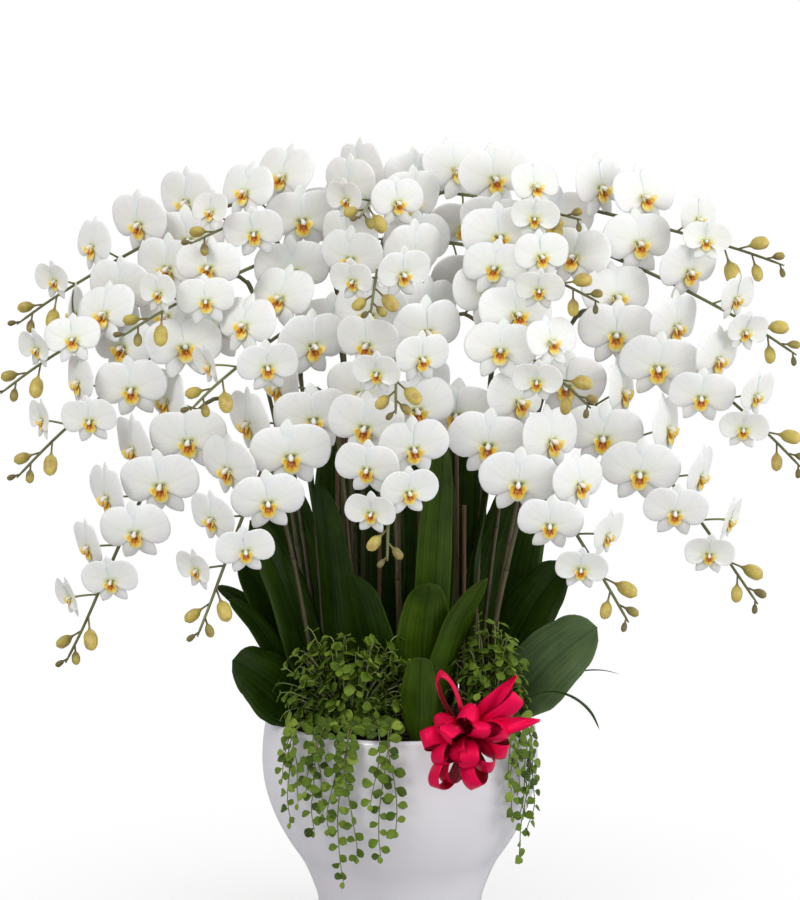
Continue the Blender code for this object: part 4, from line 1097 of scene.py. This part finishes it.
# ---------------------------------------------------------------- bow
def ribbon_way(turn, lean):
    """Way a loop or tail leaves the knot: turned round the view, leaning to the front."""
    a, b = math.radians(turn), math.radians(lean)
    return np.array([math.cos(a) * math.cos(b), -math.sin(b), math.sin(a) * math.cos(b)])


def ribbon_loop(knot, turn, lean, length, half, roll, dice):
    ahead = ribbon_way(turn, lean)
    open_way = unit(np.cross(ahead, unit(np.cross(ahead, [0.25, -1.0, 0.15]))))
    wide_way = unit(np.cross(ahead, open_way))
    c, d = math.cos(math.radians(roll)), math.sin(math.radians(roll))
    open_way, wide_way = open_way * c + wide_way * d, wide_way * c - open_way * d
    t = np.linspace(0.16, 2 * math.pi - 0.16, 44)
    reach = length * (1 - np.cos(t)) / 2
    swell = half * 1.22 * np.sin(t) * (0.30 + 0.70 * (1 - np.cos(t)) / 2)
    width = RIBBON_WIDTH * (0.30 + 0.62 * np.clip(reach / length * 1.7, 0, 1) ** 0.8)
    u = np.linspace(-1, 1, 9)[:, None]
    pinch = np.clip(1 - reach / length * 1.6, 0, 1)
    wave = dice.uniform(0, 6)
    rise = swell + 0.0034 * pinch * np.sin(u * 7 + wave) + 0.0010 * np.sin(t * 2 + u * 2 + wave)
    rise = rise - 0.0022 * u ** 2 * np.sign(np.sin(t))
    return (knot + ahead * reach[None, :, None] + open_way * rise[..., None]
            + wide_way * (u * width / 2)[..., None])


def ribbon_tail(knot, turn, lean, length, dice):
    ahead = ribbon_way(turn, lean)
    s = np.linspace(0, 1, 34)
    sag = np.stack([0 * s, -0.010 * np.sin(3 * s), -0.014 * s * s], axis=1)
    line = knot + ahead * (length * s)[:, None] + sag
    wide = unit(np.cross(ahead, [0.2, -1, 0.1]))
    over = unit(np.cross(ahead, wide))
    u = np.linspace(-1, 1, 9)[:, None]
    half = RIBBON_WIDTH * np.interp(s, [0, 0.25, 0.5, 0.75, 1], [0.26, 0.42, 0.44, 0.30, 0.05])
    ripple = 0.0026 * np.sin(u * 3 + s * 5 + dice.uniform(0, 6)) * (0.3 + s)
    return line[None] + wide * (u * half)[..., None] + over * ripple[..., None]


def knot_turn(knot, lean):
    """One turn of ribbon round the middle of the bow."""
    t = np.linspace(0, 2 * math.pi * 0.97, 40)
    u = np.linspace(-1, 1, 9)[:, None, None]
    ring = np.stack([0.0155 * np.cos(t), 0.0125 * np.sin(t), 0.004 * np.sin(2 * t + lean * 9)], axis=1)
    grid = knot + ring[None] * (1 - 0.28 * u ** 2) + unit([lean, -0.1, 1.0]) * (u * 0.0125)
    return grid + 0.0012 * np.sin(u * 9 + lean * 20) * unit([0.2, -1, 0])


def bow_pieces(satin, wire, dice):
    knot = heading(BOW_HEADING) * (rim_radius() + BOW_OUT) + UP * (POT_HEIGHT + BOW_UP)
    bands = [ribbon_loop(knot, *entry, roll, dice) for entry, roll in zip(BOW_LOOPS, BOW_ROLLS)]
    bands += [ribbon_loop(knot, *entry, dice) for entry in SMALL_LOOPS]
    bands += [ribbon_tail(knot, *entry, dice) for entry in BOW_TAILS]
    bands += [knot_turn(knot, lean) for lean in (-0.25, 0.30)]
    shape = Shape()
    for grid in bands:
        points, faces, places = thick_sheet(grid, 0.0005, 12.0)
        along = lengths(grid[4])
        places[:, 1] = np.tile(along, 2 * len(grid))
        # Painted shade: the tone makes each band darker near the knot, where the loops crowd, and darker on
        # its back sheet than on its front.
        far = np.linalg.norm(grid - knot, axis=2).ravel() / 0.055
        tone = np.clip(np.concatenate([0.22 + 0.78 * far, 0.02 + 0.40 * far]), 0, 1)
        shape.add((points, faces, places), 0, tone)
    item = show(shape, "ribbon_bow", [satin], "bow")
    line = hermite(in_pot(*BOW_WIRE_FOOT), UP * 0.10, knot + np.array([0.0, 0.0142, 0.004]),
                   np.array([0.0, -0.12, -0.05]), 60)
    show(Shape(standing(tube(line, [0.0012] * 60, 8))), "show_bow_pick", [wire], "bow_pick")


# ---------------------------------------------------------------- studio and camera
def floor_piece():
    """Pale round floor; it catches the object's shadow near its foot and fades to white through a painted
    glow further out.
    """
    count = 96
    points = [(0.0, 0.0, 0.0)]
    for radius in (0.15, 0.3, 0.6, 1.0, 1.6, 2.4, 3.4):
        points += [(radius * c, radius * s, 0.0) for c, s in circle(count)]
    f = Finish("floor", (0.90, 0.90, 0.90), 0.85)
    away = f.node("ShaderNodeVectorMath", {0: f.spot}, operation="LENGTH").outputs["Value"]
    shade = f.mix(f.noise(f.spot, 30.0), (0.895, 0.895, 0.897), (0.905, 0.905, 0.905))
    f.tree.links.new(shade, f.shader.inputs["Base Color"])
    # Painted glow: white emission mixed in more and more away from the middle, so the floor fades into the
    # white surroundings.
    glow = f.node("ShaderNodeEmission", {"Color": (1, 1, 1, 1), "Strength": 1.0})
    blend = f.node("ShaderNodeMixShader", {0: f.level(away, 0.10, 0.75, 0.25, 1.0), 1: f.shader.outputs[0],
                                           2: glow.outputs[0]})
    dull = f.node("ShaderNodeBsdfDiffuse", {"Color": (0.52, 0.52, 0.54, 1)})
    seen = f.node("ShaderNodeLightPath").outputs["Is Camera Ray"]
    mixed = f.node("ShaderNodeMixShader", {0: seen, 1: dull.outputs[0], 2: blend.outputs[0]})
    f.tree.links.new(mixed.outputs[0], f.tree.nodes["Material Output"].inputs["Surface"])
    floor = Shape((points, fan(0, 1, count) + ring_faces(7, count, 1, True))).build("floor", [f.made])
    floor.location.z = -0.0004


def surroundings():
    """White seen by the camera; for the light, dimmer from below and from the left."""
    world = bpy.data.worlds.new("studio")
    bpy.context.scene.world = world
    world.use_nodes = True
    w = Nodes(world.node_tree)
    way = w.node("ShaderNodeTexCoord").outputs["Generated"]
    split = w.node("ShaderNodeSeparateXYZ", {0: way})
    band = w.level(split.outputs["Z"], -0.2, 0.9, 0.61, 0.88)
    both = w.math("MULTIPLY", band, w.level(split.outputs["X"], -0.9, 0.9, 0.62, 1.46))
    seen = w.node("ShaderNodeLightPath").outputs["Is Camera Ray"]
    pick = w.node("ShaderNodeMix", {0: seen, 2: both, 3: 1.0}, data_type="FLOAT")
    back = w.tree.nodes["Background"]
    back.inputs["Color"].default_value = (1.0, 1.0, 1.0, 1.0)
    w.tree.links.new(pick.outputs[0], back.inputs["Strength"])


def put_in_scene(name, data, place, turn):
    item = bpy.data.objects.new(name, data)
    item.location = place
    item.rotation_euler = turn
    bpy.context.scene.collection.objects.link(item)
    return item


def lamp(name, place, aim, size, power, tint):
    data = bpy.data.lights.new(name, "AREA")
    data.shape = "RECTANGLE"
    data.size, data.size_y = size
    data.energy = power
    data.color = tint
    way = unit(np.array(aim) - np.array(place))
    put_in_scene(name, data, place, (math.acos(-way[2]), 0.0, math.atan2(way[1], way[0]) - math.pi / 2))


def camera():
    """The photo's view: from the front, 5 degrees above level."""
    data = bpy.data.cameras.new("view")
    data.lens = 80.0
    data.sensor_width = 36.0
    tilt, distance, aim = math.radians(5.0), 2.63, 0.655
    place = (0.0, -distance * math.cos(tilt), aim + distance * math.sin(tilt))
    bpy.context.scene.camera = put_in_scene("view", data, place, (math.pi / 2 - tilt, 0.0, 0.0))


# ---------------------------------------------------------------- the scene
camera()
floor_piece()
surroundings()
lamp("key", (-1.5, -2.0, 2.3), (0, 0, 0.65), (1.3, 1.3), 29.5, (1.0, 0.985, 0.955))
lamp("fill", (2.1, -1.2, 1.3), (0, 0, 0.6), (1.5, 1.5), 16.0, (1.0, 0.99, 0.98))
lamp("rim", (0.8, 2.2, 2.2), (0, 0, 0.75), (1.5, 1.0), 9.0, (1.0, 1.0, 1.0))
bpy.context.scene.view_settings.view_transform = "Standard"
flower_pieces()
dice = np.random.default_rng(7)
# Two copies of one leaf green: the darker one, for the leaves behind and inside the mass, is partly painted
# shade; the brighter one, for the front leaves, is partly painted light.
shaded_dark_leaf = leaf_finish("leaf_dark_shaded", (0.006, 0.018, 0.0008), (0.018, 0.044, 0.002), (0.044, 0.082, 0.006),
                        0.40, 0.03)
lit_bright_leaf = leaf_finish("leaf_bright_lit", (0.016, 0.038, 0.001), (0.042, 0.086, 0.003), (0.085, 0.145, 0.009),
                          0.40, 0.03)
grey_leaf = leaf_finish("leaf_grey", (0.045, 0.082, 0.030), (0.085, 0.140, 0.052), (0.15, 0.21, 0.090),
                        0.48, 0.03)
for name, entry in LEAVES.items():
    strap_leaf(name, entry, grey_leaf if name == GREY else lit_bright_leaf if name in LIT_BRIGHT_LEAVES else shaded_dark_leaf, dice)
creeper_leaf, twig, kit = creeper_finish(), stem_finish(), leaf_kit()
for name in CREEPERS:
    creeper(name, creeper_leaf, twig, kit, dice)
pot_piece(glaze_finish())
soil_piece(moss_finish(), bark_finish(), dice)
wood = stake_finish()
for name in sorted(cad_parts):
    if name.startswith("stake"):
        stake_piece(name, wood, dice)
bow_pieces(ribbon_finish(), wire_finish(), dice)
